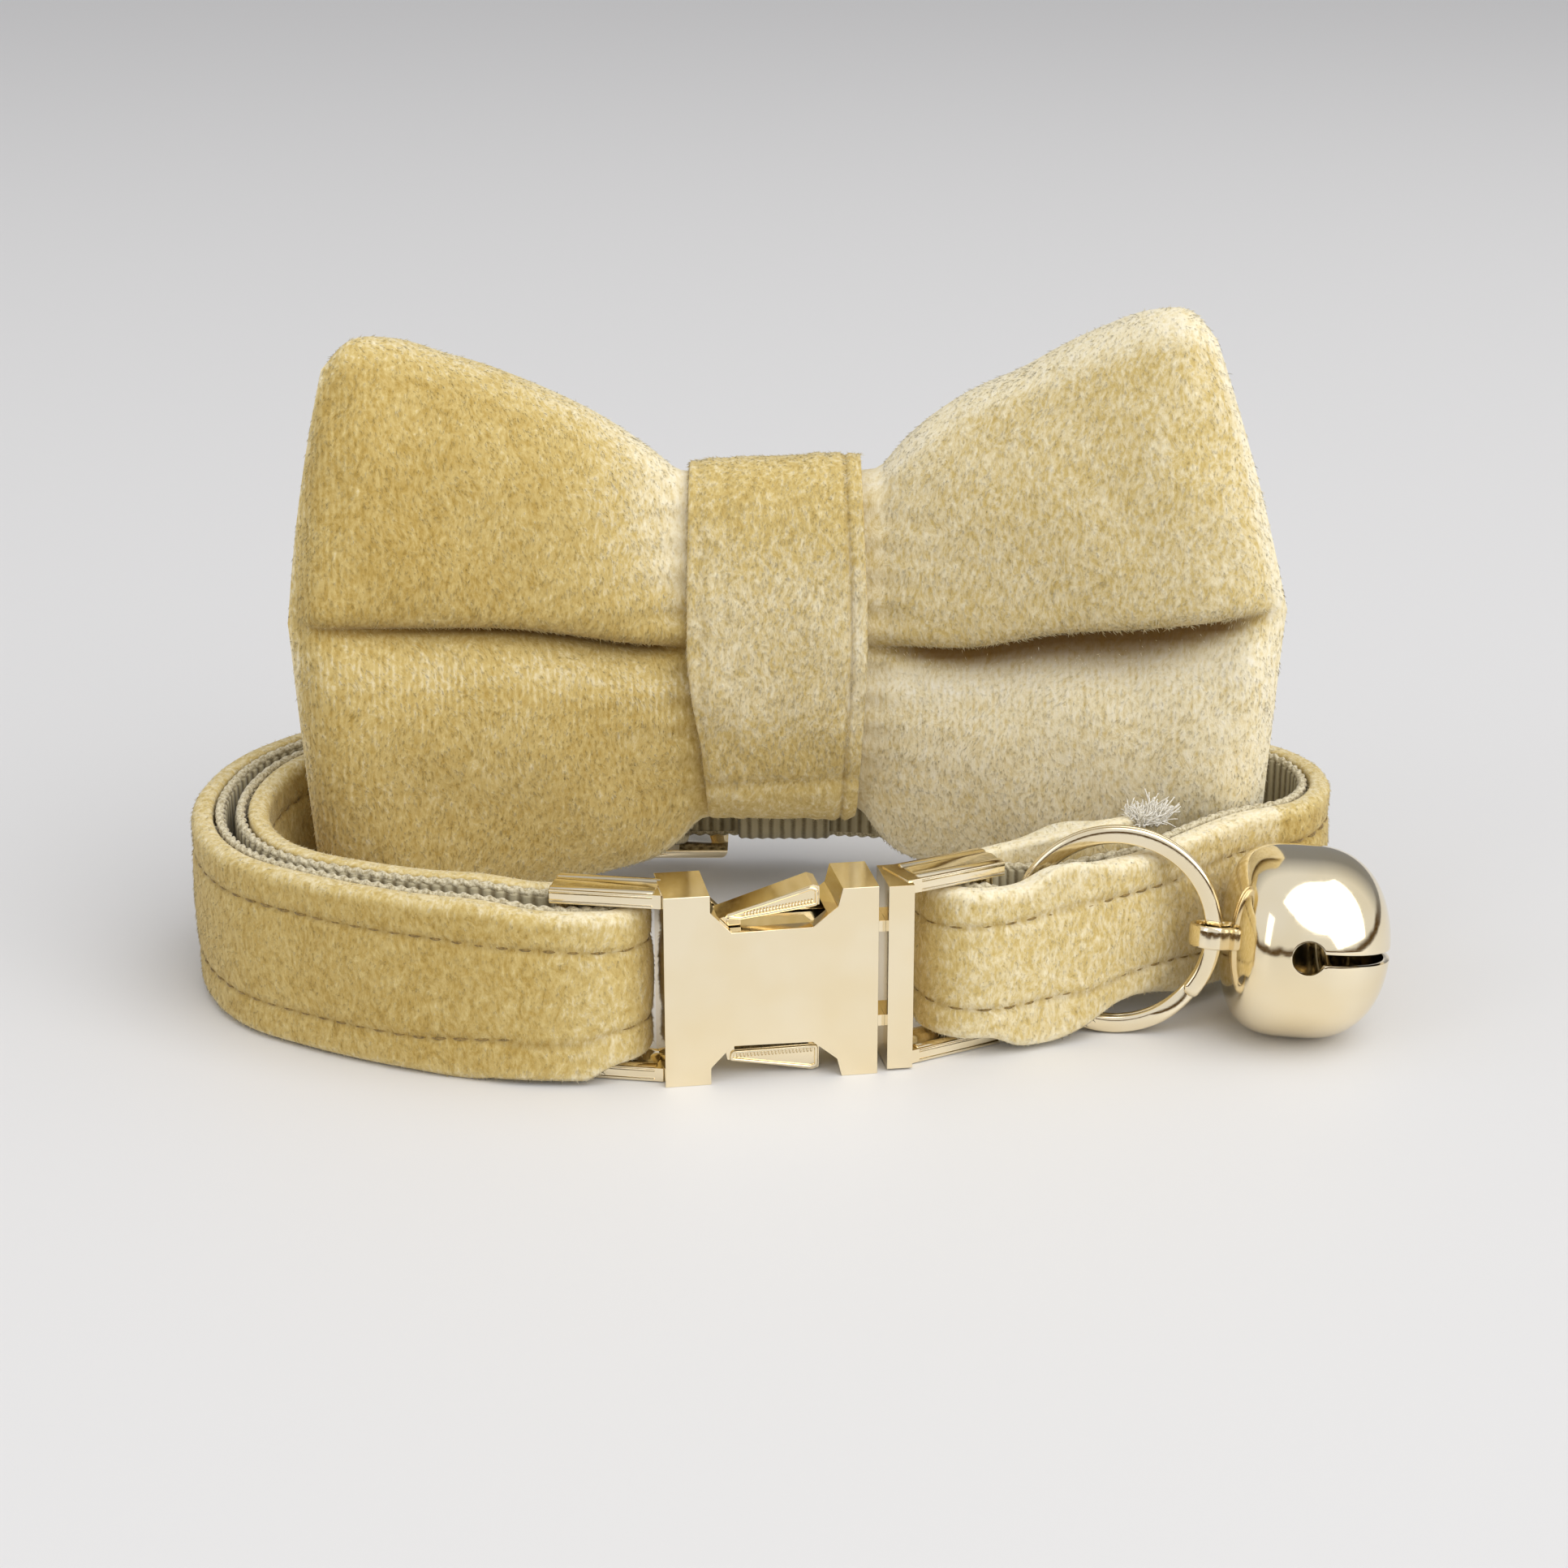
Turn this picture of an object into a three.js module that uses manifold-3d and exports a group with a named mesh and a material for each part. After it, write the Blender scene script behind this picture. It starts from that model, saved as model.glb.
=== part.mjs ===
// Pet bow tie collar: a velvet strap lined with webbing, closed by a metal side-release buckle,
// with a split ring and a jingle bell at the front and a padded velvet bow on the rear stretch.
// Units are millimetres, +Z is up, +X runs along the buckle and -Y is the front.
// The collar stands on the long edge of its strap, as a flattened loop.

import * as THREE from "three";
import { mergeVertices } from "three/addons/utils/BufferGeometryUtils.js";
import Module from "manifold-3d";

// Driving dimensions
const GAP = 0.3;
const STRAP_WIDTH = 15.8;
const STRAP_THICKNESS = 3.1;
const VELVET_THICKNESS = 1.9;
const LINING_THICKNESS = STRAP_THICKNESS - VELVET_THICKNESS - GAP;
const LINING_INSET = 0.5;
const EDGE_ROUNDING = 0.65;
const STATION_STEP = 3.1;

const BUCKLE_YAW = THREE.MathUtils.degToRad(9.5);
const BUCKLE_PLACE = new THREE.Vector3(-1.0, 1.45, 0);
const BODY_LENGTH = 18.2;
const BODY_HEIGHT = 17.0;
const BODY_DEPTH = 6.4;
const PLATE_WALL = 1.3;
const RAIL_THICKNESS = 1.2;
const RAIL_DEPTH = 4.2;
const BAR_RADIUS = 1.0;

const RING_RADIUS = 8.55;
const RING_WIRE = 1.5;
const RING_CENTRE = new THREE.Vector3(29.1, 13.0, 9.33);
const RING_YAW = THREE.MathUtils.degToRad(-5);
const RING_LEAN = THREE.MathUtils.degToRad(-6);

const BELL_RADIUS = 8.5;
const BELL_LENGTH = 14.0;
const BELL_WALL = 0.7;
const BELL_SLOT = 1.0;
const BELL_KEYHOLE = 1.45;
const BELL_KEYHOLE_BACK = 1.4;
const BELL_ROLL = THREE.MathUtils.degToRad(-10);
const BELL_PITCH = THREE.MathUtils.degToRad(4);
const BELL_LOOP_RADIUS = 1.56;
const BELL_LOOP_REACH = 1.15;
const BELL_LOOP_WALL = 0.6;
const BELL_LOOP_HEIGHT = 2.0;

const BOW_PINCH = 43.9;
const BOW_BEND = 0.0078;
const BOW_LEFT_PINCH = -9.6;
const BOW_RIGHT_PINCH = 8.6;
const BOW_CREASE_WIDTH = 1.5;
const BAND_WALL = 1.3;
const BAND_REACH = 0.5;

const KEEPER_WIDTH = 9.2;
const KEEPER_WALL = 0.9;
const KEEPER_GAP = 0.36;
const KEEPER_SLACK = 1.8;
const SLIDER_LENGTH = 12.0;
const SLIDER_RIGHT = -5.7;
const SLIDER_WALL = 1.2;
const SLIDER_BAR = 2.2;
const TAB_WALL = 0.8;

// Height of the strap's lower edge above the surface at the rear, where the bow carries it
const REAR_LIFT = 4.0;

// Route of the middle of the strap's thickness, seen from above, from the fold at the socket half
// of the buckle, round the left bend, the rear and the right bend to the fold at the plug half.
// low is the height of the strap's lower edge and tall its width there; tuck narrows the lining
// on both edges where the buckle's rails stand behind the velvet.
const OUTER_ROUTE = [
  { x: -15.8, y: 1.6, low: 1.7, tall: 13.6 },
  { x: -20.6, y: 1.6, low: 1.6, tall: 13.8 },
  { x: -25.0, y: 2.3, low: 0.2, tall: STRAP_WIDTH },
  { x: -32.0, y: 4.6, low: 0.15, tall: STRAP_WIDTH },
  { x: -40.0, y: 8.6, low: 0.15, tall: STRAP_WIDTH },
  { x: -47.2, y: 13.8, low: 0.2, tall: STRAP_WIDTH },
  { x: -51.4, y: 20.8, low: 0.5, tall: STRAP_WIDTH },
  { x: -52.6, y: 28.8, low: 1.2, tall: STRAP_WIDTH },
  { x: -50.6, y: 36.1, low: 2.1, tall: STRAP_WIDTH },
  { x: -44.8, y: 42.4, low: 2.9, tall: STRAP_WIDTH },
  { x: -37.0, y: 47.6, low: 3.5, tall: STRAP_WIDTH },
  { x: -27.0, y: 51.9, low: 3.9, tall: STRAP_WIDTH },
  { x: -15.0, y: 54.3, low: REAR_LIFT, tall: STRAP_WIDTH },
  { x: -3.0, y: 54.8, low: REAR_LIFT, tall: STRAP_WIDTH },
  { x: 8.0, y: 54.2, low: REAR_LIFT, tall: STRAP_WIDTH },
  { x: 20.0, y: 51.4, low: 3.7, tall: STRAP_WIDTH },
  { x: 32.0, y: 47.0, low: 3.2, tall: STRAP_WIDTH },
  { x: 42.0, y: 41.9, low: 2.6, tall: STRAP_WIDTH },
  { x: 48.1, y: 36.8, low: 2.0, tall: STRAP_WIDTH },
  { x: 49.3, y: 31.0, low: 1.6, tall: STRAP_WIDTH },
  { x: 46.6, y: 25.2, low: 1.4, tall: STRAP_WIDTH },
  { x: 40.6, y: 22.6, low: 1.2, tall: 15.6 },
  { x: 35.3, y: 18.0, low: 1.7, tall: 14.8 },
  { x: 32.0, y: 15.2, low: 2.7, tall: 13.4 },
  { x: 28.9, y: 13.0, low: 2.9, tall: 13.1, tuck: 0.4 },
  { x: 25.8, y: 11.0, low: 2.0, tall: 14.2, tuck: 2.1 },
  { x: 22.8, y: 9.6, low: 0.6, tall: 15.8, tuck: 1.4 },
  { x: 20.0, y: 8.3, low: 0.6, tall: 14.8, tuck: 1.0 },
  { x: 17.7, y: 7.4, low: 1.7, tall: 13.6 },
];

// Width of the dark gap between the outer layer and the layer that comes back from the socket
// half, at shares of the way from that half to the slider
const LEFT_GAPS = [
  { share: 0.0, gap: 3.0 },
  { share: 0.1, gap: 2.2 },
  { share: 0.25, gap: 0.7 },
  { share: 0.42, gap: 0.8 },
  { share: 0.6, gap: 1.3 },
  { share: 0.75, gap: 1.9 },
  { share: 0.9, gap: 0.9 },
  { share: 1.0, gap: 0.4 },
];
const LEFT_RETURN_END_X = -19.0;

// Route of the short layer that comes back from the plug half behind the ring, to its frayed end
const RIGHT_RETURN = [
  { x: 15.5, y: 14.7, low: 1.7, tall: 13.6 },
  { x: 19.4, y: 17.6, low: 1.6, tall: 13.8 },
  { x: 24.0, y: 18.5, low: 1.5, tall: 14.6 },
  { x: 28.4, y: 19.2, low: 1.6, tall: 15.4 },
  { x: 32.6, y: 22.0, low: 2.2, tall: STRAP_WIDTH },
];

// Bow lobes from the band outwards: reach is the share of the way to the tip, top and foot are
// heights, fold the height of the crease, front and back the padding on each side of the middle
// surface, and crease the depth of the groove
const LEFT_LOBE = {
  pinch: BOW_LEFT_PINCH,
  tip: -44.6,
  tipSweep: { top: 3.4, foot: 1.8, power: 1.5 },
  rows: [
    { reach: 0.0, top: 43.6, foot: 11.4, fold: 27.5, front: 4.6, back: 4.6, crease: 0.6 },
    { reach: 0.1, top: 46.4, foot: 7.4, fold: 28.2, front: 6.2, back: 4.8, crease: 2.6 },
    { reach: 0.25, top: 49.8, foot: 5.5, fold: 29.6, front: 7.6, back: 5.0, crease: 3.2 },
    { reach: 0.45, top: 53.3, foot: 4.0, fold: 31.2, front: 8.2, back: 5.0, crease: 2.8 },
    { reach: 0.65, top: 56.2, foot: 2.3, fold: 32.1, front: 8.0, back: 4.9, crease: 2.2 },
    { reach: 0.82, top: 58.0, foot: 0.6, fold: 32.8, front: 7.2, back: 4.5, crease: 1.6 },
    { reach: 0.93, top: 57.9, foot: -0.07, fold: 33.0, front: 5.0, back: 3.3, crease: 0.9 },
    { reach: 1.0, top: 55.6, foot: 2.0, fold: 33.2, front: 0.7, back: 0.6, crease: 0.0 },
  ],
};
const RIGHT_LOBE = {
  pinch: BOW_RIGHT_PINCH,
  tip: 45.2,
  tipSweep: { top: 6.4, foot: 1.6, power: 1.25 },
  rows: [
    { reach: 0.0, top: 43.6, foot: 11.4, fold: 27.6, front: 4.6, back: 4.6, crease: 0.6 },
    { reach: 0.1, top: 47.4, foot: 6.8, fold: 28.0, front: 6.2, back: 4.8, crease: 2.2 },
    { reach: 0.25, top: 52.0, foot: 5.2, fold: 28.6, front: 7.7, back: 5.0, crease: 3.2 },
    { reach: 0.45, top: 55.2, foot: 3.9, fold: 30.7, front: 8.4, back: 5.0, crease: 4.2 },
    { reach: 0.65, top: 58.2, foot: 2.3, fold: 31.9, front: 8.2, back: 4.9, crease: 4.4 },
    { reach: 0.82, top: 60.4, foot: 0.6, fold: 33.2, front: 7.4, back: 4.5, crease: 3.0 },
    { reach: 0.93, top: 60.4, foot: -0.07, fold: 34.3, front: 5.2, back: 3.3, crease: 1.2 },
    { reach: 1.0, top: 58.0, foot: 2.0, fold: 34.6, front: 0.7, back: 0.6, crease: 0.0 },
  ],
};
const LOBE_STATIONS = 17;
const LOBE_HALF_POINTS = 8;
const SECTION_POWER = 2.5;
const LEAST_PAD = 0.2;
const BACK_GROOVE = 0.3;

const wasm = await Module();
wasm.setup();

const velvet = new THREE.MeshStandardMaterial({ color: 0xcdb878, roughness: 0.95, metalness: 0 });
const webbing = new THREE.MeshStandardMaterial({ color: 0xb9b29c, roughness: 0.9, metalness: 0 });
const gilt = new THREE.MeshStandardMaterial({ color: 0xe5cf9c, roughness: 0.12, metalness: 1 });
const elastic = new THREE.MeshStandardMaterial({ color: 0xb0a67f, roughness: 0.9, metalness: 0 });

/** Turns a geometry's faces outwards if its signed volume is negative. */
function facingOut(geometry) {
  const position = geometry.getAttribute("position");
  const index = geometry.getIndex();
  const [a, b, c] = [new THREE.Vector3(), new THREE.Vector3(), new THREE.Vector3()];
  let volume = 0;
  for (let i = 0; i < index.count; i += 3) {
    a.fromBufferAttribute(position, index.getX(i));
    b.fromBufferAttribute(position, index.getX(i + 1));
    c.fromBufferAttribute(position, index.getX(i + 2));
    volume += a.dot(b.cross(c));
  }
  if (volume < 0) {
    for (let i = 0; i < index.count; i += 3) {
      const first = index.getX(i);
      index.setX(i, index.getX(i + 2));
      index.setX(i + 2, first);
    }
  }
  return geometry;
}

/** Closed solid through a list of rings of points, with a fan over each end ring. */
function loft(rings) {
  const size = rings[0].length;
  const points = rings.flat();
  const faces = [];
  for (let r = 0; r + 1 < rings.length; r += 1) {
    for (let i = 0; i < size; i += 1) {
      const a = r * size + i;
      const b = r * size + ((i + 1) % size);
      faces.push(a, b, b + size, a, b + size, a + size);
    }
  }
  for (const [ring, flip] of [[0, true], [rings.length - 1, false]]) {
    const middle = new THREE.Vector3();
    rings[ring].forEach((point) => middle.addScaledVector(point, 1 / size));
    points.push(middle);
    for (let i = 0; i < size; i += 1) {
      const a = ring * size + i;
      const b = ring * size + ((i + 1) % size);
      faces.push(...(flip ? [points.length - 1, b, a] : [points.length - 1, a, b]));
    }
  }
  const geometry = new THREE.BufferGeometry().setFromPoints(points);
  geometry.setIndex(faces);
  return facingOut(geometry);
}

/** Prism with an outline in X and Z, from the front face at y to y + depth. */
function plate(outline, y, depth) {
  const shape = new THREE.Shape(outline.map(([x, z]) => new THREE.Vector2(x, z)));
  const geometry = new THREE.ExtrudeGeometry(shape, { depth, bevelEnabled: false });
  geometry.rotateX(Math.PI / 2);
  geometry.translate(0, y + depth, 0);
  return geometry;
}

/** Closed band between two outlines in Y and Z, from x to x + width. */
function sleeve(outer, inner, x, width) {
  const turned = (points) => points.map(([y, z]) => new THREE.Vector2(y, z));
  const shape = new THREE.Shape(turned(outer));
  shape.holes.push(new THREE.Path(turned(inner)));
  const geometry = new THREE.ExtrudeGeometry(shape, { depth: width, bevelEnabled: false });
  const axes = new THREE.Matrix4().makeBasis(
    new THREE.Vector3(0, 1, 0), new THREE.Vector3(0, 0, 1), new THREE.Vector3(1, 0, 0));
  geometry.applyMatrix4(axes);
  geometry.translate(x, 0, 0);
  return geometry;
}

/** Box from its middle and its sizes, turned about the vertical. */
function block(x, y, z, dx, dy, dz, turn = 0) {
  const geometry = new THREE.BoxGeometry(dx, dy, dz);
  geometry.rotateZ(turn);
  geometry.translate(x, y, z);
  return geometry;
}

/** Solid for cutting and joining, from a closed geometry. */
function solid(geometry) {
  const bare = geometry.clone();
  bare.deleteAttribute("normal");
  bare.deleteAttribute("uv");
  const merged = facingOut(mergeVertices(bare, 1e-4));
  return new wasm.Manifold(new wasm.Mesh({
    numProp: 3,
    vertProperties: Float32Array.from(merged.getAttribute("position").array),
    triVerts: Uint32Array.from(merged.getIndex().array),
  }));
}

/** Geometry of one solid joined from the first list and cut by the second. */
function joined(added, removed = []) {
  let body = solid(added[0]);
  added.slice(1).forEach((piece) => { body = body.add(solid(piece)); });
  removed.forEach((piece) => { body = body.subtract(solid(piece)); });
  const mesh = body.getMesh();
  const geometry = new THREE.BufferGeometry();
  geometry.setAttribute("position", new THREE.BufferAttribute(Float32Array.from(mesh.vertProperties), 3));
  geometry.setIndex(Array.from(mesh.triVerts));
  return geometry;
}

const collar = new THREE.Group();

/** Adds one named piece to a group. */
function piece(name, geometry, material, group = collar) {
  const mesh = new THREE.Mesh(geometry, material);
  mesh.name = name;
  group.add(mesh);
  return mesh;
}

/** Points of a half turn of the strap about (x, y), from one angle to another. */
function halfTurn(x, y, radius, from, to, low, tall) {
  const rows = [];
  const steps = 6;
  for (let i = 1; i < steps; i += 1) {
    const angle = from + ((to - from) * i) / steps;
    rows.push({ x: x + radius * Math.cos(angle), y: y + radius * Math.sin(angle), low, tall });
  }
  return rows;
}

/** Evenly spaced stations along rows of x, y, low and tall, each with its left-hand normal. */
function stations(rows, step) {
  const route = new THREE.CatmullRomCurve3(rows.map((row) => new THREE.Vector3(row.x, row.y, 0)));
  const sizes = new THREE.CatmullRomCurve3(
    rows.map((row) => new THREE.Vector3(row.low, row.tall, row.tuck ?? 0)));
  const count = Math.round(route.getLength() / step);
  const list = [];
  for (let i = 0; i <= count; i += 1) {
    const t = route.getUtoTmapping(i / count);
    const place = route.getPoint(t);
    const along = route.getTangent(t);
    const size = sizes.getPoint(t);
    list.push({
      x: place.x, y: place.y, nx: -along.y, ny: along.x, low: size.x, tall: size.y, tuck: size.z,
    });
  }
  return list;
}

/** Value of one column at a share of the way, by straight lines between rows. */
function between(rows, key, column, share) {
  const next = Math.max(1, rows.findIndex((row) => row[key] >= share));
  const [a, b] = [rows[next - 1], rows[next]];
  const part = THREE.MathUtils.clamp((share - a[key]) / (b[key] - a[key]), 0, 1);
  return THREE.MathUtils.lerp(a[column], b[column], part);
}

/** Left return layer: the outer layer moved inwards by its thickness and the gap. */
function leftReturn() {
  const outer = stations(OUTER_ROUTE, 6).filter((row) => row.x < 0);
  const rows = [];
  outer.forEach((row, i) => {
    const gap = between(LEFT_GAPS, "share", "gap", i / (outer.length - 1));
    const move = STRAP_THICKNESS + gap;
    rows.push({ ...row, x: row.x - row.nx * move, y: row.y - row.ny * move });
  });
  return rows.filter((row) => row.y < 30 || row.x < LEFT_RETURN_END_X).reverse();
}

/** The whole strap in one run, from the slider to the frayed end behind the ring. */
function strapRoute() {
  const inner = leftReturn();
  const [start, end] = [OUTER_ROUTE[0], inner[inner.length - 1]];
  const middle = (start.y + end.y) / 2;
  const socketFold = halfTurn(start.x, middle, (end.y - start.y) / 2, Math.PI / 2, -Math.PI / 2, 1.7, 13.6);
  const [last, back] = [OUTER_ROUTE[OUTER_ROUTE.length - 1], RIGHT_RETURN[0]];
  const across = new THREE.Vector2(back.x - last.x, back.y - last.y);
  const toLast = Math.atan2(-across.y, -across.x);
  const plugFold = halfTurn((last.x + back.x) / 2, (last.y + back.y) / 2, across.length() / 2,
    toLast, toLast - Math.PI, 1.7, 13.6);
  return [...inner, ...socketFold, ...OUTER_ROUTE, ...plugFold, ...RIGHT_RETURN];
}

/** Strip along the strap between two distances from its middle, with cut corners. */
function strip(route, from, to, inset, corner) {
  const rings = route.map((row) => {
    const edge = inset > 0 ? inset + row.tuck : 0;
    const [low, high] = [row.low + edge, row.low + row.tall - edge];
    const at = (side, z) => new THREE.Vector3(row.x + row.nx * side, row.y + row.ny * side, z);
    if (corner === 0) {
      return [at(from, low), at(to, low), at(to, high), at(from, high)];
    }
    return [
      at(from, low + corner * 0.5), at((from + to) / 2, low), at(to - corner * 0.4, low + corner * 0.4),
      at(to, low + corner * 2), at(to, high - corner * 2), at(to - corner * 0.4, high - corner * 0.4),
      at((from + to) / 2, high), at(from, high - corner * 0.5),
    ];
  });
  return loft(rings);
}

const route = stations(strapRoute(), STATION_STEP);
const outerFace = STRAP_THICKNESS / 2;
piece("velvet_strap", strip(route, outerFace - VELVET_THICKNESS, outerFace, 0, EDGE_ROUNDING), velvet);
piece("webbing_lining", strip(route, -outerFace, LINING_THICKNESS - outerFace, LINING_INSET, 0), webbing);

/** Rail ends of the buckle: two rails and the upright bar that the strap folds round. */
function strapLoop(from, to) {
  const way = new THREE.Vector2(to[0] - from[0], to[1] - from[1]);
  const turn = Math.atan2(way.y, way.x);
  const length = way.length() + BAR_RADIUS;
  const reach = way.clone().setLength(length / 2);
  const rail = (z) => block(
    from[0] + reach.x, from[1] + reach.y, z, length, RAIL_DEPTH, RAIL_THICKNESS, turn);
  const bar = new THREE.CylinderGeometry(BAR_RADIUS, BAR_RADIUS, BODY_HEIGHT - RAIL_THICKNESS, 12);
  bar.rotateX(Math.PI / 2);
  bar.translate(to[0], to[1], BODY_HEIGHT / 2);
  const inset = 0.1 + RAIL_THICKNESS / 2;
  return [rail(inset), rail(BODY_HEIGHT - inset), bar];
}

const buckle = new THREE.Group();
buckle.position.copy(BUCKLE_PLACE);
buckle.rotation.z = BUCKLE_YAW;
collar.add(buckle);

// Socket half: a flat polished body with a notch above and below, hollow for the prongs
const half = BODY_LENGTH / 2;
const notch = [[-5.2, 0], [-5.2, 1.5], [-3.4, 3.4], [3.5, 3.3], [5.6, 1.6], [6.0, 0]];
const bodyOutline = [
  [-half, 0], ...notch, [half, 0], [half, BODY_HEIGHT],
  ...notch.map(([x, z]) => [x, BODY_HEIGHT - z]).reverse(), [-half, BODY_HEIGHT],
];
const cavityDepth = BODY_DEPTH - 2 * PLATE_WALL;
piece("female_buckle", joined(
  [plate(bodyOutline, 0, BODY_DEPTH), ...strapLoop([-half + 0.6, 3.0], [-16.6, 5.7])],
  [block(1.9, BODY_DEPTH / 2, BODY_HEIGHT / 2, 15.6, cavityDepth, 12.4)],
), gilt, buckle);

// Plug half: a cross bar, two spring arms with wedge heads in the notches, and its own strap loop
const upperHead = [
  [-4.5, 12.3], [-4.5, 14.25], [3.7, 16.9], [4.3, 16.7], [4.3, 15.1],
  [-2.4, 14.1], [-2.4, 13.3], [10.4, 13.3], [10.4, 12.3],
];
const lowerHead = [
  [-4.4, 4.7], [-4.4, 3.0], [-3.8, 2.5], [-3.6, 1.5], [3.7, 0.1], [4.3, 0.3],
  [4.3, 2.5], [-3.0, 2.35], [-3.0, 3.7], [10.4, 3.7], [10.4, 4.7],
];
const headDepth = cavityDepth - 2 * GAP;
piece("male_buckle", joined([
  block(11.1, 3.0, BODY_HEIGHT / 2, 2.2, 5.4, BODY_HEIGHT - 0.4),
  plate(upperHead, PLATE_WALL + GAP, headDepth),
  plate(lowerHead, PLATE_WALL + GAP, headDepth),
  ...strapLoop([11.1, 3.1], [19.3, 6.1]),
]), gilt, buckle);

// Split ring: two turns of flat wire read as one square-section ring, standing on the surface
const wire = RING_WIRE / 2;
const ringProfile = [
  [RING_RADIUS - wire, -wire], [RING_RADIUS + wire, -wire],
  [RING_RADIUS + wire, wire], [RING_RADIUS - wire, wire], [RING_RADIUS - wire, -wire],
].map(([r, y]) => new THREE.Vector2(r, y));
const ring = piece("split_ring", new THREE.LatheGeometry(ringProfile, 36), gilt);
ring.position.copy(RING_CENTRE);
ring.rotation.set(RING_LEAN, 0, RING_YAW, "ZXY");

// Jingle bell: a hollow shell whose axis runs to the right, with one long slot and two keyholes
const bellGroup = new THREE.Group();
const hook = new THREE.Vector3(
  RING_CENTRE.x + RING_RADIUS * Math.cos(RING_YAW), RING_CENTRE.y + RING_RADIUS * Math.sin(RING_YAW), 0);
const bellHalf = BELL_LENGTH / 2;

/** Outline of the bell, flat at its hanging end and round at the other, for a wall set in by a depth. */
function bellProfile(inset) {
  const profile = [];
  const steps = 10;
  for (let i = 0; i <= steps; i += 1) {
    const angle = (Math.PI * i) / steps;
    const power = 2 * i < steps ? 0.54 : 0.86;
    const along = Math.sign(Math.cos(angle)) * Math.abs(Math.cos(angle)) ** power;
    const out = Math.abs(Math.sin(angle)) ** power;
    profile.push(new THREE.Vector2((BELL_RADIUS - inset) * out, -(bellHalf - inset) * along));
  }
  profile[0].x = 0;
  profile[steps].x = 0;
  return profile;
}
const bellAxis = new THREE.Matrix4().makeRotationZ(-Math.PI / 2);
const bellOuter = new THREE.LatheGeometry(bellProfile(0), 24).applyMatrix4(bellAxis);
const bellInner = new THREE.LatheGeometry(bellProfile(BELL_WALL), 24).applyMatrix4(bellAxis);
const keyhole = new THREE.CylinderGeometry(BELL_KEYHOLE, BELL_KEYHOLE, 4 * BELL_RADIUS, 12);
keyhole.translate(-BELL_KEYHOLE_BACK, 0, 0);
const slot = block(bellHalf - BELL_KEYHOLE_BACK, 0, 0, BELL_LENGTH, 4 * BELL_RADIUS, BELL_SLOT);
const loopShape = new THREE.Shape().absarc(0, 0, BELL_LOOP_RADIUS + BELL_LOOP_WALL, 0, 2 * Math.PI);
loopShape.holes.push(new THREE.Path().absarc(0, 0, BELL_LOOP_RADIUS, 0, 2 * Math.PI));
const bellLoop = new THREE.ExtrudeGeometry(loopShape, {
  depth: BELL_LOOP_HEIGHT, bevelEnabled: false, curveSegments: 8,
});
bellLoop.translate(-bellHalf - BELL_LOOP_REACH, 0, -BELL_LOOP_HEIGHT / 2);
piece("jingle_bell", joined([bellOuter, bellLoop], [bellInner, keyhole, slot]), gilt, bellGroup);
bellGroup.rotation.set(BELL_ROLL, BELL_PITCH, 0, "YXZ");
bellGroup.position.set(
  hook.x + (bellHalf + BELL_LOOP_REACH) * Math.cos(BELL_PITCH), hook.y, BELL_RADIUS);
collar.add(bellGroup);

/** Distances of the section's points from its middle, 0 at the crease and 1 at the edge. */
function sectionSteps() {
  const steps = [];
  for (let i = 0; i <= LOBE_HALF_POINTS; i += 1) {
    steps.push(Math.sin((Math.PI / 2) * (i / LOBE_HALF_POINTS) ** 1.4));
  }
  return steps;
}

/** Ring of points of a lobe at a share of its reach. */
function lobeRing(lobe, reach) {
  const value = (column) => between(lobe.rows, "reach", column, reach);
  const [top, foot, fold] = [value("top"), value("foot"), value("fold")];
  const [middle, tall] = [(top + foot) / 2, (top - foot) / 2];
  const steps = sectionSteps();
  const downwards = [...steps.slice().reverse(), ...steps.slice(1).map((s) => -s)];
  const point = (s, side) => {
    const sweep = s > 0 ? lobe.tipSweep.top : lobe.tipSweep.foot;
    const span = Math.abs(lobe.tip - lobe.pinch) - sweep * Math.abs(s) ** lobe.tipSweep.power;
    const x = lobe.pinch + Math.sign(lobe.tip) * span * reach;
    const z = s > 0 ? fold + s * (top - fold) : fold + s * (fold - foot);
    const off = Math.min(1, Math.abs(z - middle) / tall);
    const round = (1 - off ** SECTION_POWER) ** (1 / SECTION_POWER);
    const groove = value("crease") * Math.exp(-Math.abs(z - fold) / BOW_CREASE_WIDTH);
    const depth = side < 0 ? groove : groove * BACK_GROOVE;
    const pad = value(side < 0 ? "front" : "back") * round - depth;
    return new THREE.Vector3(x, BOW_PINCH - BOW_BEND * x * x + side * Math.max(LEAST_PAD, pad), z);
  };
  const front = downwards.map((s) => point(s, -1));
  const back = downwards.slice(1, -1).reverse().map((s) => point(s, 1));
  return [...front, ...back];
}

/** Shares of the reach, closer together near the tip. */
function lobeShares() {
  const shares = [];
  for (let i = 0; i <= LOBE_STATIONS; i += 1) {
    shares.push(Math.sin((Math.PI / 2) * (i / LOBE_STATIONS)));
  }
  return shares;
}

const shares = lobeShares();
piece("bow", loft([
  ...shares.slice().reverse().map((share) => lobeRing(LEFT_LOBE, share)),
  ...shares.map((share) => lobeRing(RIGHT_LOBE, share)),
]), velvet);

// Centre band: a sleeve round the pinch of the bow
const pinch = LEFT_LOBE.rows[0];

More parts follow.
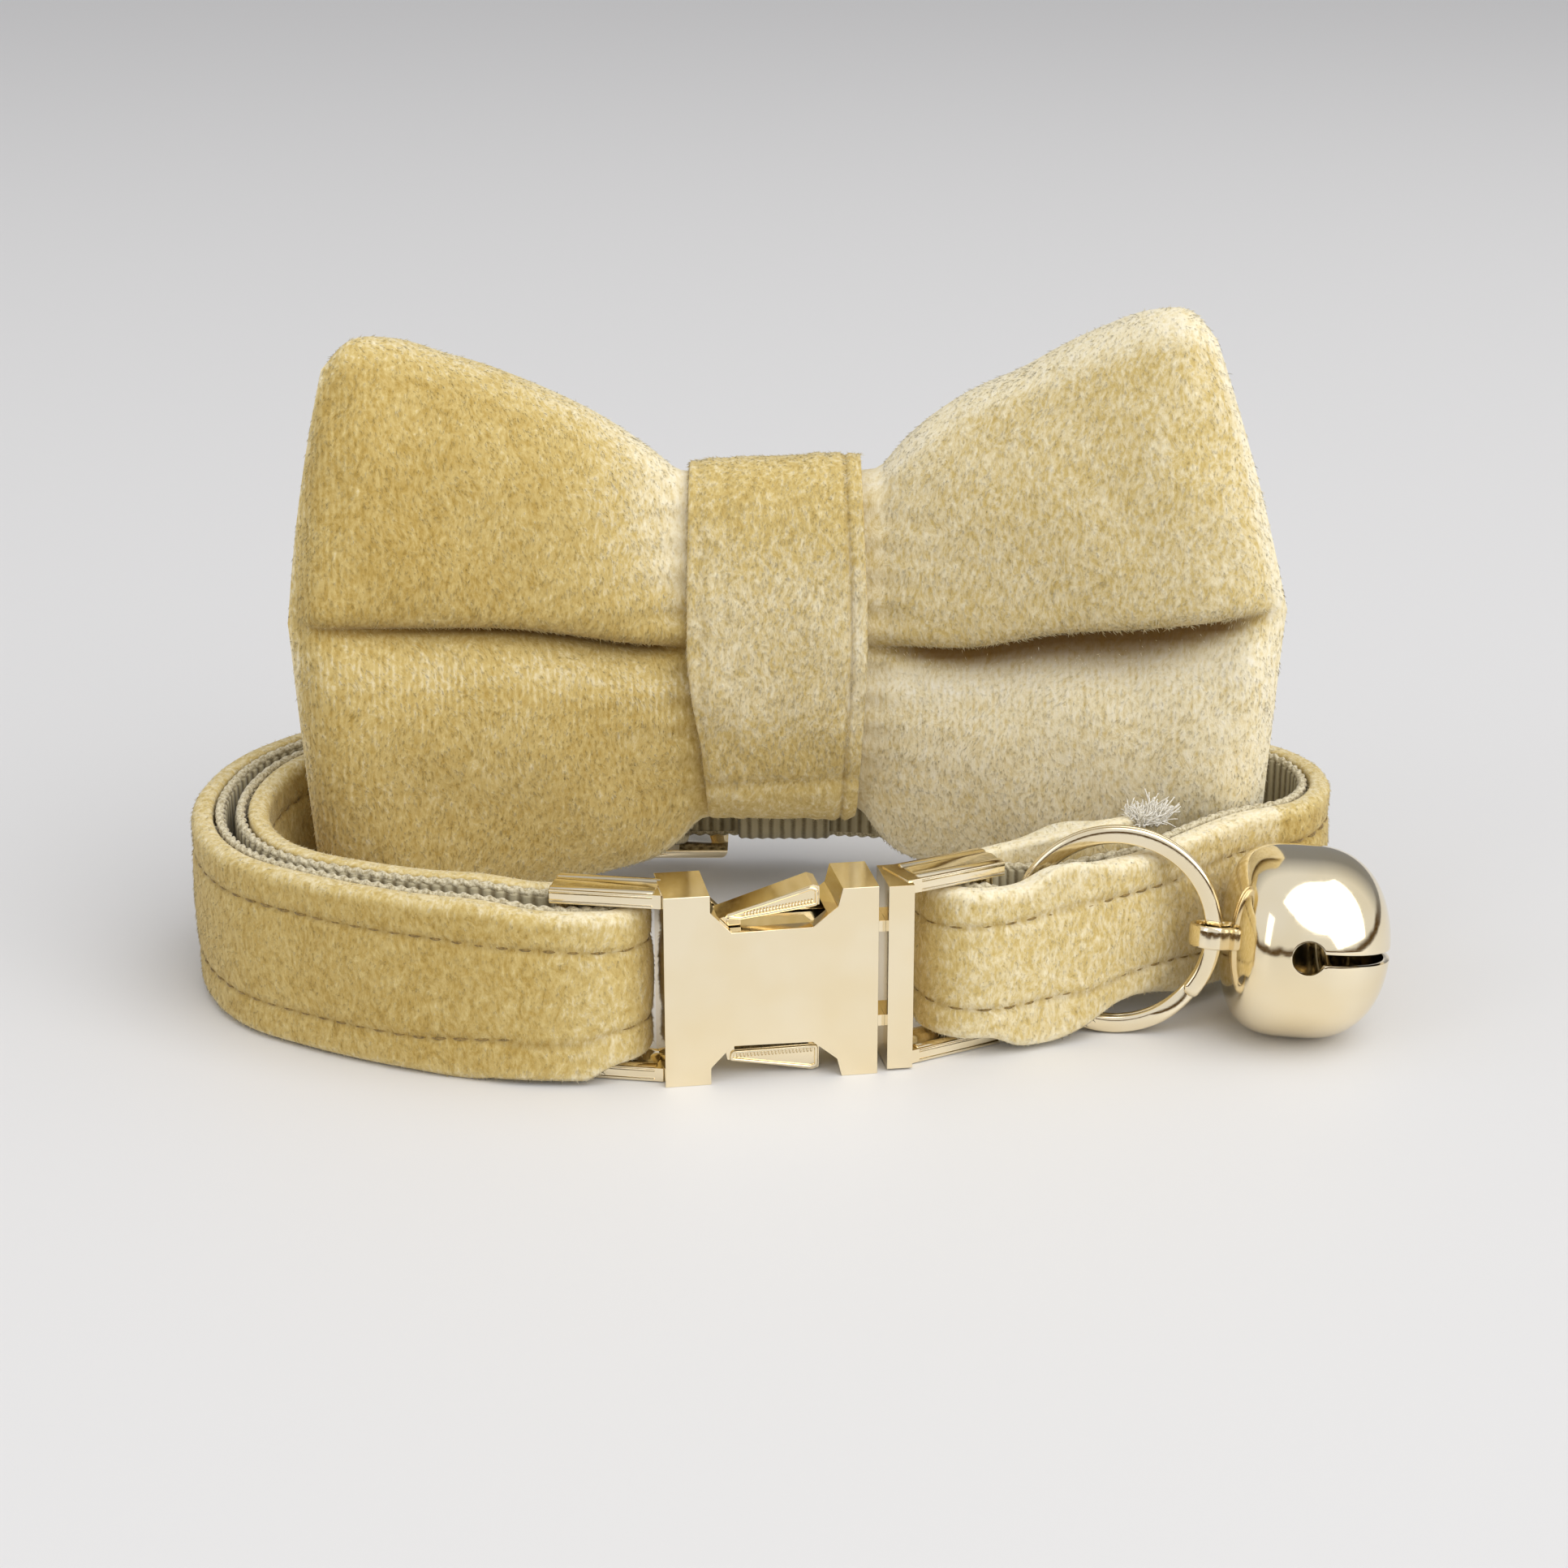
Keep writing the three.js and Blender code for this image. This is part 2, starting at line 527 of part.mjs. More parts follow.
/** Outline of the pinch in Y and Z, moved outwards by a distance. */
function pinchOutline(out) {
  const [tall, deep] = [(pinch.top - pinch.foot) / 2 + out, pinch.front + out];
  const points = [];
  const count = 28;
  const centre = BOW_PINCH - BOW_BEND * BOW_LEFT_PINCH ** 2;
  for (let i = 0; i < count; i += 1) {
    const angle = (2 * Math.PI * i) / count;
    const [c, s] = [Math.cos(angle), Math.sin(angle)];
    const power = 2 / SECTION_POWER;
    points.push([
      centre + deep * Math.sign(c) * Math.abs(c) ** power,
      (pinch.top + pinch.foot) / 2 + tall * Math.sign(s) * Math.abs(s) ** power,
    ]);
  }
  return points;
}
const bandLeft = BOW_LEFT_PINCH + BAND_REACH;
const bandWidth = BOW_RIGHT_PINCH - BAND_REACH - bandLeft;
piece("bow_centre_band",
  sleeve(pinchOutline(BAND_REACH + BAND_WALL), pinchOutline(BAND_REACH), bandLeft, bandWidth), velvet);

// Keeper: an elastic loop on the back of the bow, through which the strap passes
const rear = route.filter((row) => Math.abs(row.x) < KEEPER_WIDTH && row.y > 40);
const rearInner = Math.min(...rear.map((row) => row.y)) - outerFace;
const rearOuter = Math.max(...rear.map((row) => row.y)) + outerFace;

/** Rectangle with cut corners in Y and Z round the strap's rear stretch. */
function keeperOutline(out) {
  const [y0, y1] = [rearInner - KEEPER_SLACK - out, rearOuter + out];
  const [z0, z1] = [REAR_LIFT - out, REAR_LIFT + STRAP_WIDTH + out];
  const cut = 0.35 + out * 0.4;
  return [
    [y0 + cut, z0], [y1 - cut, z0], [y1, z0 + cut], [y1, z1 - cut],
    [y1 - cut, z1], [y0 + cut, z1], [y0, z1 - cut], [y0, z0 + cut],
  ];
}
piece("bow_keeper",
  sleeve(keeperOutline(KEEPER_GAP + KEEPER_WALL), keeperOutline(KEEPER_GAP), -KEEPER_WIDTH / 2, KEEPER_WIDTH),
  elastic);

// Slider: two end bars outside the strap and a centre bar inside it, joined above and below
const sliderMiddle = SLIDER_RIGHT - SLIDER_LENGTH / 2;
const beside = route.filter((row) => Math.abs(row.x - sliderMiddle) < SLIDER_LENGTH / 2 + 2 && row.y > 53);
const besideInner = Math.min(...beside.map((row) => row.y)) - outerFace;
const besideOuter = Math.max(...beside.map((row) => row.y)) + outerFace;
const sliderInside = besideInner - GAP - TAB_WALL - GAP - 1.0;
const sliderOutside = besideOuter + GAP + SLIDER_WALL;
const sliderDeep = sliderOutside - sliderInside;
const sliderTall = STRAP_WIDTH + 2 * GAP + 2 * SLIDER_WALL;
const sliderLow = REAR_LIFT - GAP - SLIDER_WALL;
const sliderRail = (z) => block(
  sliderMiddle, sliderInside + sliderDeep / 2, z, SLIDER_LENGTH, sliderDeep, SLIDER_WALL);
const endBar = (x) => block(
  x, sliderOutside - SLIDER_WALL / 2, sliderLow + sliderTall / 2, SLIDER_BAR, SLIDER_WALL, sliderTall);
piece("slider", joined([
  sliderRail(sliderLow + SLIDER_WALL / 2),
  sliderRail(sliderLow + sliderTall - SLIDER_WALL / 2),
  endBar(SLIDER_RIGHT - SLIDER_BAR / 2),
  endBar(SLIDER_RIGHT - SLIDER_LENGTH + SLIDER_BAR / 2),
  block(sliderMiddle, sliderInside + 0.5, sliderLow + sliderTall / 2, SLIDER_BAR, 1.0, sliderTall),
]), gilt);

// Tab: the webbing loop that ties the end of the strap to the slider's centre bar
const tabOut = { x: SLIDER_BAR / 2 + GAP + TAB_WALL, y: 0.5 + GAP + TAB_WALL };
const tabIn = { x: SLIDER_BAR / 2 + GAP, y: 0.5 + GAP };
const tabEnd = LEFT_RETURN_END_X + 0.9 - sliderMiddle;
const tabShape = new THREE.Shape([
  [tabEnd, -tabOut.y], [tabOut.x - 0.4, -tabOut.y], [tabOut.x, 0.4 - tabOut.y],
  [tabOut.x, tabOut.y - 0.4], [tabOut.x - 0.4, tabOut.y], [tabEnd, tabOut.y],
].map(([x, y]) => new THREE.Vector2(x, y)));
tabShape.holes.push(new THREE.Path([
  [-tabIn.x, -tabIn.y], [-tabIn.x, tabIn.y], [tabIn.x, tabIn.y], [tabIn.x, -tabIn.y],
].map(([x, y]) => new THREE.Vector2(x, y))));
const tabWidth = STRAP_WIDTH - 2 * LINING_INSET;
const tab = new THREE.ExtrudeGeometry(tabShape, { depth: tabWidth, bevelEnabled: false });
tab.translate(sliderMiddle, sliderInside + 0.5, REAR_LIFT + LINING_INSET);
piece("slider_tab", tab, webbing);

// The origin is the middle of the bounding box's underside
const box = new THREE.Box3().setFromObject(collar, true);
const centre = box.getCenter(new THREE.Vector3());
collar.position.set(-centre.x, -centre.y, -box.min.z);

export default collar;
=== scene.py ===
"""Pet bow tie collar: velvet strap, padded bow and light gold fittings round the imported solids.

The sizes in the classes are millimetres in the maker's own frame: X 0 lies near the middle of the
buckle, the buckle's front is near Y 0 and the surface that the collar stands on is Z 0. Place turns
them to the row frame's metres.
"""

import logging
import math
from dataclasses import dataclass, field
from enum import Enum

import bmesh
import bpy
import numpy as np
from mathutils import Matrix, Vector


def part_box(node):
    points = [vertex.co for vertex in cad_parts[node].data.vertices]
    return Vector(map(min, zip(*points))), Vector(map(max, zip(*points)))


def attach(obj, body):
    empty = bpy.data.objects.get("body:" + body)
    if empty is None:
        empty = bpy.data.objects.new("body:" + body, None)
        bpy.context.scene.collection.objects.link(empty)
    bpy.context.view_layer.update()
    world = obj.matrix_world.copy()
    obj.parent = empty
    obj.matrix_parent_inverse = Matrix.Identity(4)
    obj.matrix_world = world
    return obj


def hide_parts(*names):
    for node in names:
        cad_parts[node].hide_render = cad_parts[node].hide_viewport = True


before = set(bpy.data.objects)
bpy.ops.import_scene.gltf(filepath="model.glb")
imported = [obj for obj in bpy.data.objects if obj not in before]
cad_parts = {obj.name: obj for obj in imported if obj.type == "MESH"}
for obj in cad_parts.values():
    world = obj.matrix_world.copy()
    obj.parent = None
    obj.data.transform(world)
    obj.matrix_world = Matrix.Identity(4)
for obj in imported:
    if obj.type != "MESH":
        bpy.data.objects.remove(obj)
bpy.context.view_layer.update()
MM = 0.001
ROOT = "root"
LOG = logging.getLogger("collar")
Pair = tuple[float, float]
Triple = tuple[float, float, float]


class Slot(Enum):
    """The record's material slots."""

    VELVET = "velvet"
    WEBBING = "webbing"
    GILT = "gilt_metal"
    ELASTIC = "elastic"


class Side(Enum):
    """The two lobes of the bow, by the sign of their X."""

    LEFT = -1.0
    RIGHT = 1.0


@dataclass(frozen=True)
class Place:
    """Where the maker's frame lies in the row frame, in millimetres."""

    shift: np.ndarray

    @classmethod
    def from_solids(cls) -> "Place":
        """Reads the shift off the slider's right face and the buckle's left front corner.

        Returns:
            The place, with the shift added to a point in the maker's frame.
        """
        slider_right, buckle_front = -5.7, -0.052
        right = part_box("slider")[1].x / MM
        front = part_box("female_buckle")[0].y / MM
        return cls(np.array([right - slider_right, front - buckle_front, 0.0]))

    def metres(self, points: np.ndarray) -> np.ndarray:
        """Points of the maker's frame in the row frame's metres."""
        return (points + self.shift) * MM


PLACE = Place.from_solids()


def linear(code: str) -> tuple[float, float, float, float]:
    """Turns an sRGB hex value to linear colour.

    Args:
        code: Six hex digits.

    Returns:
        Red, green, blue and an alpha of 1.
    """
    parts = np.array([int(code[i:i + 2], 16) / 255 for i in (0, 2, 4)])
    made = np.where(parts <= 0.04045, parts / 12.92, ((parts + 0.055) / 1.055) ** 2.4)
    return float(made[0]), float(made[1]), float(made[2]), 1.0


def waves(u: np.ndarray, v: np.ndarray, lengths: Pair, seed: int, count: int = 9) -> np.ndarray:
    """Smooth unevenness from -1 to 1.

    The sum of a few sine waves, each with its own direction, length and start, over their number's
    square root.

    Args:
        u: First coordinate, in millimetres.
        v: Second coordinate, in millimetres.
        lengths: Shortest and longest wave, in millimetres.
        seed: Seed of the waves' directions, lengths and starts.
        count: Number of waves.

    Returns:
        One value per point.
    """
    rng = np.random.default_rng(seed)
    turn = rng.uniform(0, math.tau, count)
    pulse = math.tau / rng.uniform(*lengths, count)
    start = rng.uniform(0, math.tau, count)
    along = u[..., None] * np.cos(turn) + v[..., None] * np.sin(turn)
    return np.sin(along * pulse + start).sum(-1) / math.sqrt(2 * count)


def smooth_route(knots: np.ndarray, spacing: float) -> np.ndarray:
    """Evenly spaced rows on the centripetal Catmull-Rom curve through the knots.

    Each span is the cubic with the knots as its ends and, as its slopes, the nonuniform
    Catmull-Rom slopes for knot times that are the square roots of the distances in X and Y.

    Args:
        knots: One row per knot, X and Y first, then any other columns.
        spacing: Distance between rows, in millimetres.

    Returns:
        Rows with the same columns as the knots.
    """
    whole = np.vstack([2 * knots[0] - knots[1], knots, 2 * knots[-1] - knots[-2]])
    time = np.linalg.norm(np.diff(whole[:, :2], axis=0), axis=1, keepdims=True) ** 0.5
    p0, p1, p2, p3 = whole[:-3], whole[1:-2], whole[2:-1], whole[3:]
    d0, d1, d2 = time[:-2], time[1:-1], time[2:]
    slope1 = ((p1 - p0) / d0 - (p2 - p0) / (d0 + d1) + (p2 - p1) / d1) * d1
    slope2 = ((p2 - p1) / d1 - (p3 - p1) / (d1 + d2) + (p3 - p2) / d2) * d1
    t = np.linspace(0, 1, 24, endpoint=False)[None, :, None]
    basis = (2 * t**3 - 3 * t**2 + 1, t**3 - 2 * t**2 + t, 3 * t**2 - 2 * t**3, t**3 - t**2)
    parts = (p1[:, None], slope1[:, None], p2[:, None], slope2[:, None])
    fine = sum(b * p for b, p in zip(basis, parts)).reshape(-1, knots.shape[1])
    fine = np.vstack([fine, knots[-1]])
    run = np.concatenate([[0], np.cumsum(np.linalg.norm(np.diff(fine[:, :2], axis=0), axis=1))])
    at = np.linspace(0, run[-1], max(2, round(run[-1] / spacing) + 1))
    return np.stack([np.interp(at, run, column) for column in fine.T], 1)


def directions(path: np.ndarray) -> np.ndarray:
    """Unit directions along rows of points, by central differences."""
    step = np.gradient(path, axis=0)
    return step / np.linalg.norm(step, axis=-1, keepdims=True)


def turned(angle: float, axis: int) -> np.ndarray:
    """Rotation matrix about one axis.

    Args:
        angle: In radians.
        axis: 0 for X, 1 for Y and 2 for Z.

    Returns:
        Three by three.
    """
    c, s = math.cos(angle), math.sin(angle)
    a, b = [(1, 2), (2, 0), (0, 1)][axis]
    made = np.eye(3)
    made[a, a] = made[b, b] = c
    made[a, b], made[b, a] = -s, s
    return made


@dataclass
class Surface:
    """A surface collected from grids of points, in the maker's millimetres."""

    points: list[np.ndarray] = field(default_factory=list)
    faces: list[np.ndarray] = field(default_factory=list)
    corners: list[np.ndarray] = field(default_factory=list)
    marks: dict[str, list[np.ndarray]] = field(default_factory=dict)
    count: int = 0

    def grid(self, points: np.ndarray, uv: np.ndarray | None = None,
             wrap: tuple[bool, bool] = (False, False), caps: tuple[bool, bool] = (False, False),
             **marks: np.ndarray) -> "Surface":
        """Adds a grid of points, with a quad between each four neighbours.

        Args:
            points: Rows by columns by three.
            uv: Rows by columns by two, with one more row or column where the grid wraps.
            wrap: Whether the rows and the columns close on themselves.
            caps: Whether the first and last row are each closed with one face.
            marks: Values from 0 to 1, rows by columns, kept as attributes of the mesh.

        Returns:
            This surface.
        """
        rows, columns = points.shape[:2]
        r = np.arange(rows if wrap[0] else rows - 1)[:, None]
        c = np.arange(columns if wrap[1] else columns - 1)[None, :]
        corner_rows = np.stack([r + 0 * c, r + 0 * c, r + 1 + 0 * c, r + 1 + 0 * c], -1)
        corner_columns = np.stack([c + 0 * r, c + 1 + 0 * r, c + 1 + 0 * r, c + 0 * r], -1)
        index = (corner_rows % rows) * columns + corner_columns % columns
        self.faces.append(index.reshape(-1, 4) + self.count)
        if uv is None:
            uv = np.zeros((rows + 1, columns + 1, 2))
        self.corners.append(uv[corner_rows, corner_columns].reshape(-1, 4, 2))
        for wanted, row, way in ((caps[0], 0, -1), (caps[1], rows - 1, 1)):
            if wanted:
                ring = row * columns + np.arange(columns)[::way]
                self.faces.append(ring[None, :] + self.count)
                self.corners.append(np.zeros((1, columns, 2)))
        self.points.append(points.reshape(-1, 3))
        for name in set(self.marks) | set(marks):
            kept = self.marks.setdefault(name, [np.zeros(self.count)])
            kept.append(np.broadcast_to(marks.get(name, 0.0), (rows, columns)).ravel())
        self.count += rows * columns
        return self

    def volume(self) -> float:
        """Signed volume inside the faces, each cut into triangles from its first corner."""
        points = np.concatenate(self.points)
        total = 0.0
        for faces in self.faces:
            first = points[faces[:, 0]]
            for k in range(1, faces.shape[1] - 1):
                cross = np.cross(points[faces[:, k]], points[faces[:, k + 1]])
                total += float((first * cross).sum())
        return total / 6

    def build(self, name: str, merge: float = 0.0,
              normals: np.ndarray | None = None) -> bpy.types.Object:
        """Makes the mesh object, with its faces outwards.

        Args:
            name: The piece's name.
            merge: Distance in millimetres within which points become one, or 0.
            normals: Shading direction of each point, or none for the mesh's own.

        Returns:
            The object, in the row frame's metres.
        """
        way = -1 if self.volume() < 0 else 1
        faces = [f[:, ::way] for f in self.faces]
        corners = [c[:, ::way] for c in self.corners]
        points = PLACE.metres(np.concatenate(self.points))
        loops = np.concatenate([f.ravel() for f in faces])
        sizes = np.concatenate([np.full(len(f), f.shape[1]) for f in faces])
        mesh = bpy.data.meshes.new(name)
        mesh.vertices.add(len(points))
        mesh.vertices.foreach_set("co", points.astype(np.float32).ravel())
        mesh.loops.add(len(loops))
        mesh.loops.foreach_set("vertex_index", loops.astype(np.int32))
        mesh.polygons.add(len(sizes))
        starts = np.concatenate([[0], np.cumsum(sizes)[:-1]])
        mesh.polygons.foreach_set("loop_start", starts.astype(np.int32))
        mesh.polygons.foreach_set("use_smooth", np.full(len(sizes), True))
        layer = mesh.uv_layers.new(name="UVMap")
        flat = np.concatenate([c.reshape(-1, 2) for c in corners])
        layer.data.foreach_set("uv", flat.astype(np.float32).ravel())
        for mark, values in self.marks.items():
            attribute = mesh.attributes.new(mark, "FLOAT", "POINT")
            attribute.data.foreach_set("value", np.concatenate(values).astype(np.float32))
        mesh.update(calc_edges=True)
        made = bpy.data.objects.new(name, mesh)
        bpy.context.scene.collection.objects.link(made)
        if merge > 0:
            joined = bmesh.new()
            joined.from_mesh(mesh)
            bmesh.ops.remove_doubles(joined, verts=joined.verts, dist=merge * MM)
            joined.to_mesh(mesh)
            joined.free()
        if normals is not None:
            mesh.normals_split_custom_set_from_vertices(normals.tolist())
        return made


def tube(path: np.ndarray, across: np.ndarray, upwards: np.ndarray,
         section: np.ndarray) -> np.ndarray:
    """Points of a profile carried along a path.

    Each point is the path's point, plus the profile's first number times the direction across, plus
    its second times the direction upwards.

    Args:
        path: Rows by three.
        across: Rows by three, unit.
        upwards: Rows by three, unit.
        section: Columns by two, or rows by columns by two.

    Returns:
        Rows by columns by three.
    """
    profile = np.broadcast_to(section, (len(path), *section.shape[-2:]))
    return (path[:, None] + profile[..., :1] * across[:, None]
            + profile[..., 1:] * upwards[:, None])


def round_section(count: int, half: Pair, power: float = 2.0) -> np.ndarray:
    """Closed superellipse of the given half sizes.

    Args:
        count: Number of points.
        half: Half width and half height.
        power: 2 for an ellipse, more for a squarer form.

    Returns:
        Points by two.
    """
    angle = np.arange(count) * math.tau / count
    c, s = np.cos(angle), np.sin(angle)
    return np.stack([half[0] * np.sign(c) * np.abs(c) ** (2 / power),
                     half[1] * np.sign(s) * np.abs(s) ** (2 / power)], 1)


def finished(made: bpy.types.Object, look: bpy.types.Material, slot: Slot,
             *nodes: str) -> bpy.types.Object:
    """Dresses a piece and hangs it on the frame.

    Args:
        made: The piece.
        look: Its material.
        slot: The record's slot that it belongs to; not used.
        nodes: Solids that it stands for.

    Returns:
        The piece.
    """
    made.data.materials.clear()
    made.data.materials.append(look)
    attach(made, ROOT)
    if nodes:
        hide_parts(*nodes)
    LOG.info("%s: %d faces", made.name, len(made.data.polygons))
    return made


def add_node(tree: bpy.types.NodeTree, kind: str, links: dict | None = None,
             **settings: object) -> bpy.types.Node:
    """Adds one node with its settings and links.

    Args:
        tree: Node tree to add to.
        kind: Type of the node.
        links: Socket names or numbers, each with another node's output socket or a plain value.
        settings: Properties of the node itself.

    Returns:
        The node.
    """
    node = tree.nodes.new(kind)
    for name, value in settings.items():
        setattr(node, name, value)
    for name, value in (links or {}).items():
        if isinstance(value, bpy.types.NodeSocket):
            tree.links.new(value, node.inputs[name])
        else:
            node.inputs[name].default_value = value
    return node


def new_material(name: str) -> tuple[bpy.types.Material, bpy.types.NodeTree]:
    """A node material whose tree is still empty.

    Args:
        name: The material's name.

    Returns:
        The material and its tree.
    """
    made = bpy.data.materials.new(name)
    made.use_nodes = True
    made.node_tree.nodes.clear()
    return made, made.node_tree


def set_ramp(node: bpy.types.Node, stops: list[tuple[float, str]]) -> None:
    """Gives a colour ramp its stops.

    Args:
        node: The ramp.
        stops: Place from 0 to 1 and sRGB hex value, in order.
    """
    elements = node.color_ramp.elements
    while len(elements) < len(stops):
        elements.new(0.5)
    for element, (place, code) in zip(elements, stops):
        element.position = place
        element.color = linear(code)


@dataclass(frozen=True)
class Velvet:
    """Polyester velvet: a short dense pile on a knitted ground, brushed one way.

    The pile is dark where one looks into it and pale where it lies towards the light, and here that
    light is painted into the colour. The colour drifts in soft patches and short strokes run along
    the lie, the pale mark paints light and sheen up to the palest colour at the edges, and the seam
    mark paints shade into creases and grooves.
    """

    name: str = "Polyester velvet golden beige"
    # Colour of the painted shade in creases, hem folds and stitch grooves.
    painted_crease_shade: str = "6A4810"
    deep: str = "8D7030"
    ground: str = "B69953"
    lit: str = "CEB778"
    pale: str = "EDE1BE"
    # Palest colour of the ramp: painted sheen at lit edges and rims.
    painted_sheen: str = "F6F0DE"
    patch: float = 7.0
    swirl: float = 3.2
    stroke: float = 0.28
    pile: float = 0.17
    rib: float = 0.58
    relief: float = 0.5

    def material(self) -> bpy.types.Material:
        """Builds the node material.

        Returns:
            The material, which reads Object coordinates and the marks pale, which paints light and
            sheen, seam, which paints shade, and rib.
        """
        made, tree = new_material(self.name)
        place = add_node(tree, "ShaderNodeTexCoord").outputs["Object"]
        swirls = add_node(tree, "ShaderNodeTexNoise", {
            "Vector": place, "Scale": 1 / (self.swirl * MM), "Detail": 1.0})
        moved = add_node(tree, "ShaderNodeVectorMath", {
            0: swirls.outputs["Color"], 1: (1.6 * MM, 1.6 * MM, 1.6 * MM), 2: place},
            operation="MULTIPLY_ADD").outputs[0]
        brushed = add_node(tree, "ShaderNodeMapping", {
            "Vector": moved, "Scale": (1.0, 1.0, 0.5)}).outputs[0]
        patches = add_node(tree, "ShaderNodeTexNoise", {
            "Vector": place, "Scale": 1 / (self.patch * MM), "Detail": 2.0, "Roughness": 0.5})
        strokes = add_node(tree, "ShaderNodeTexNoise", {
            "Vector": brushed, "Scale": 1 / (self.stroke * 2 * MM), "Detail": 4.0,
            "Roughness": 0.7})
        fibres = add_node(tree, "ShaderNodeTexNoise", {
            "Vector": brushed, "Scale": 1 / (self.pile * 2 * MM), "Detail": 2.0, "Roughness": 0.6})
        mixed = add_node(tree, "ShaderNodeMath", {
            0: strokes.outputs[0], 1: 0.58, 2: 0.02}, operation="MULTIPLY_ADD").outputs[0]
        mixed = add_node(tree, "ShaderNodeMath", {
            0: fibres.outputs[0], 1: 0.26, 2: mixed}, operation="MULTIPLY_ADD").outputs[0]
        mixed = add_node(tree, "ShaderNodeMath", {
            0: patches.outputs[0], 1: 0.12, 2: mixed}, operation="MULTIPLY_ADD").outputs[0]
        ribs = add_node(tree, "ShaderNodeTexWave", {
            "Vector": place, "Scale": math.tau / (20 * self.rib * MM), "Distortion": 0.8,
            "Detail": 1.0}, wave_type="BANDS", bands_direction="X", wave_profile="SIN").outputs[1]
        ribbed = add_node(tree, "ShaderNodeAttribute", attribute_name="rib").outputs["Fac"]
        ribs = add_node(tree, "ShaderNodeMath", {
            0: ribs, 1: 0.5}, operation="SUBTRACT").outputs[0]
        ribs = add_node(tree, "ShaderNodeMath", {
            0: ribs, 1: ribbed}, operation="MULTIPLY").outputs[0]
        mixed = add_node(tree, "ShaderNodeMath", {
            0: ribs, 1: 0.07, 2: mixed}, operation="MULTIPLY_ADD").outputs[0]
        # The pale mark paints light and sheen: it lifts the tone towards the pale and the palest
        # colours.
        pale = add_node(tree, "ShaderNodeAttribute", attribute_name="pale").outputs["Fac"]
        mixed = add_node(tree, "ShaderNodeMath", {
            0: pale, 1: 0.32, 2: mixed}, operation="MULTIPLY_ADD").outputs[0]
        tone = add_node(tree, "ShaderNodeValToRGB", {"Fac": mixed})
        set_ramp(tone, [(0.26, self.deep), (0.44, self.ground), (0.60, self.lit),
                        (0.80, self.pale), (1.0, self.painted_sheen)])
        # The seam mark paints shade: it mixes the colour towards the crease shade colour.
        seam = add_node(tree, "ShaderNodeAttribute", attribute_name="seam").outputs["Fac"]
        crease_shaded = add_node(tree, "ShaderNodeMix", {
            "Factor": seam, 6: tone.outputs[0], 7: linear(self.painted_crease_shade)},
            data_type="RGBA", clamp_factor=True)
        bump = add_node(tree, "ShaderNodeBump", {
            "Strength": self.relief, "Distance": 0.16 * MM, "Height": strokes.outputs[0]})
        bump = add_node(tree, "ShaderNodeBump", {
            "Strength": self.relief, "Distance": 0.08 * MM, "Height": fibres.outputs[0],
            "Normal": bump.outputs[0]})
        shader = add_node(tree, "ShaderNodeBsdfPrincipled", {
            "Base Color": crease_shaded.outputs[2], "Roughness": 0.95, "Specular IOR Level": 0.12,
            "Sheen Weight": 0.32, "Sheen Roughness": 0.5, "Sheen Tint": linear("F6ECD0"),
            "Normal": bump.outputs[0]})
        add_node(tree, "ShaderNodeOutputMaterial", {"Surface": shader.outputs[0]})
        return made


@dataclass(frozen=True)
class RibbedWebbing:
    """Woven polyester tape: warp ribs across the width, fine ridges with the gaps between them
    darkened as painted shade.
    """

    name: str = "Woven polyester webbing"
    ridge: str = "BDB291"
    gap: str = "77694A"
    rib: float = 1.1
    yarn: float = 0.35

    def material(self) -> bpy.types.Material:
        """Builds the node material, which reads the piece's own UV map, 1 to each 10 mm."""
        made, tree = new_material(self.name)
        uv = add_node(tree, "ShaderNodeUVMap", uv_map="UVMap").outputs[0]
        ribs = add_node(tree, "ShaderNodeTexWave", {
            "Vector": uv, "Scale": math.tau / (20 * self.rib / 10),
            "Distortion": 0.6, "Detail": 1.0},
            wave_type="BANDS", bands_direction="X", wave_profile="SIN")
        yarns = add_node(tree, "ShaderNodeTexNoise", {
            "Vector": uv, "Scale": 10 / self.yarn, "Detail": 3.0, "Roughness": 0.6})
        height = add_node(tree, "ShaderNodeMath", {
            0: yarns.outputs[0], 1: 0.6, 2: ribs.outputs[1]}, operation="MULTIPLY_ADD").outputs[0]
        # The colour follows the rib height, and the gaps between ribs are darkened as painted
        # shade.
        tone = add_node(tree, "ShaderNodeValToRGB", {"Fac": height})
        set_ramp(tone, [(0.25, self.gap), (0.95, self.ridge)])
        relief = add_node(tree, "ShaderNodeBump", {
            "Strength": 0.6, "Distance": 0.12 * MM, "Height": height})
        shader = add_node(tree, "ShaderNodeBsdfPrincipled", {
            "Base Color": tone.outputs[0], "Roughness": 0.8, "Specular IOR Level": 0.3,
            "Sheen Weight": 0.2, "Sheen Roughness": 0.5, "Normal": relief.outputs[0]})
        add_node(tree, "ShaderNodeOutputMaterial", {"Surface": shader.outputs[0]})
        return made


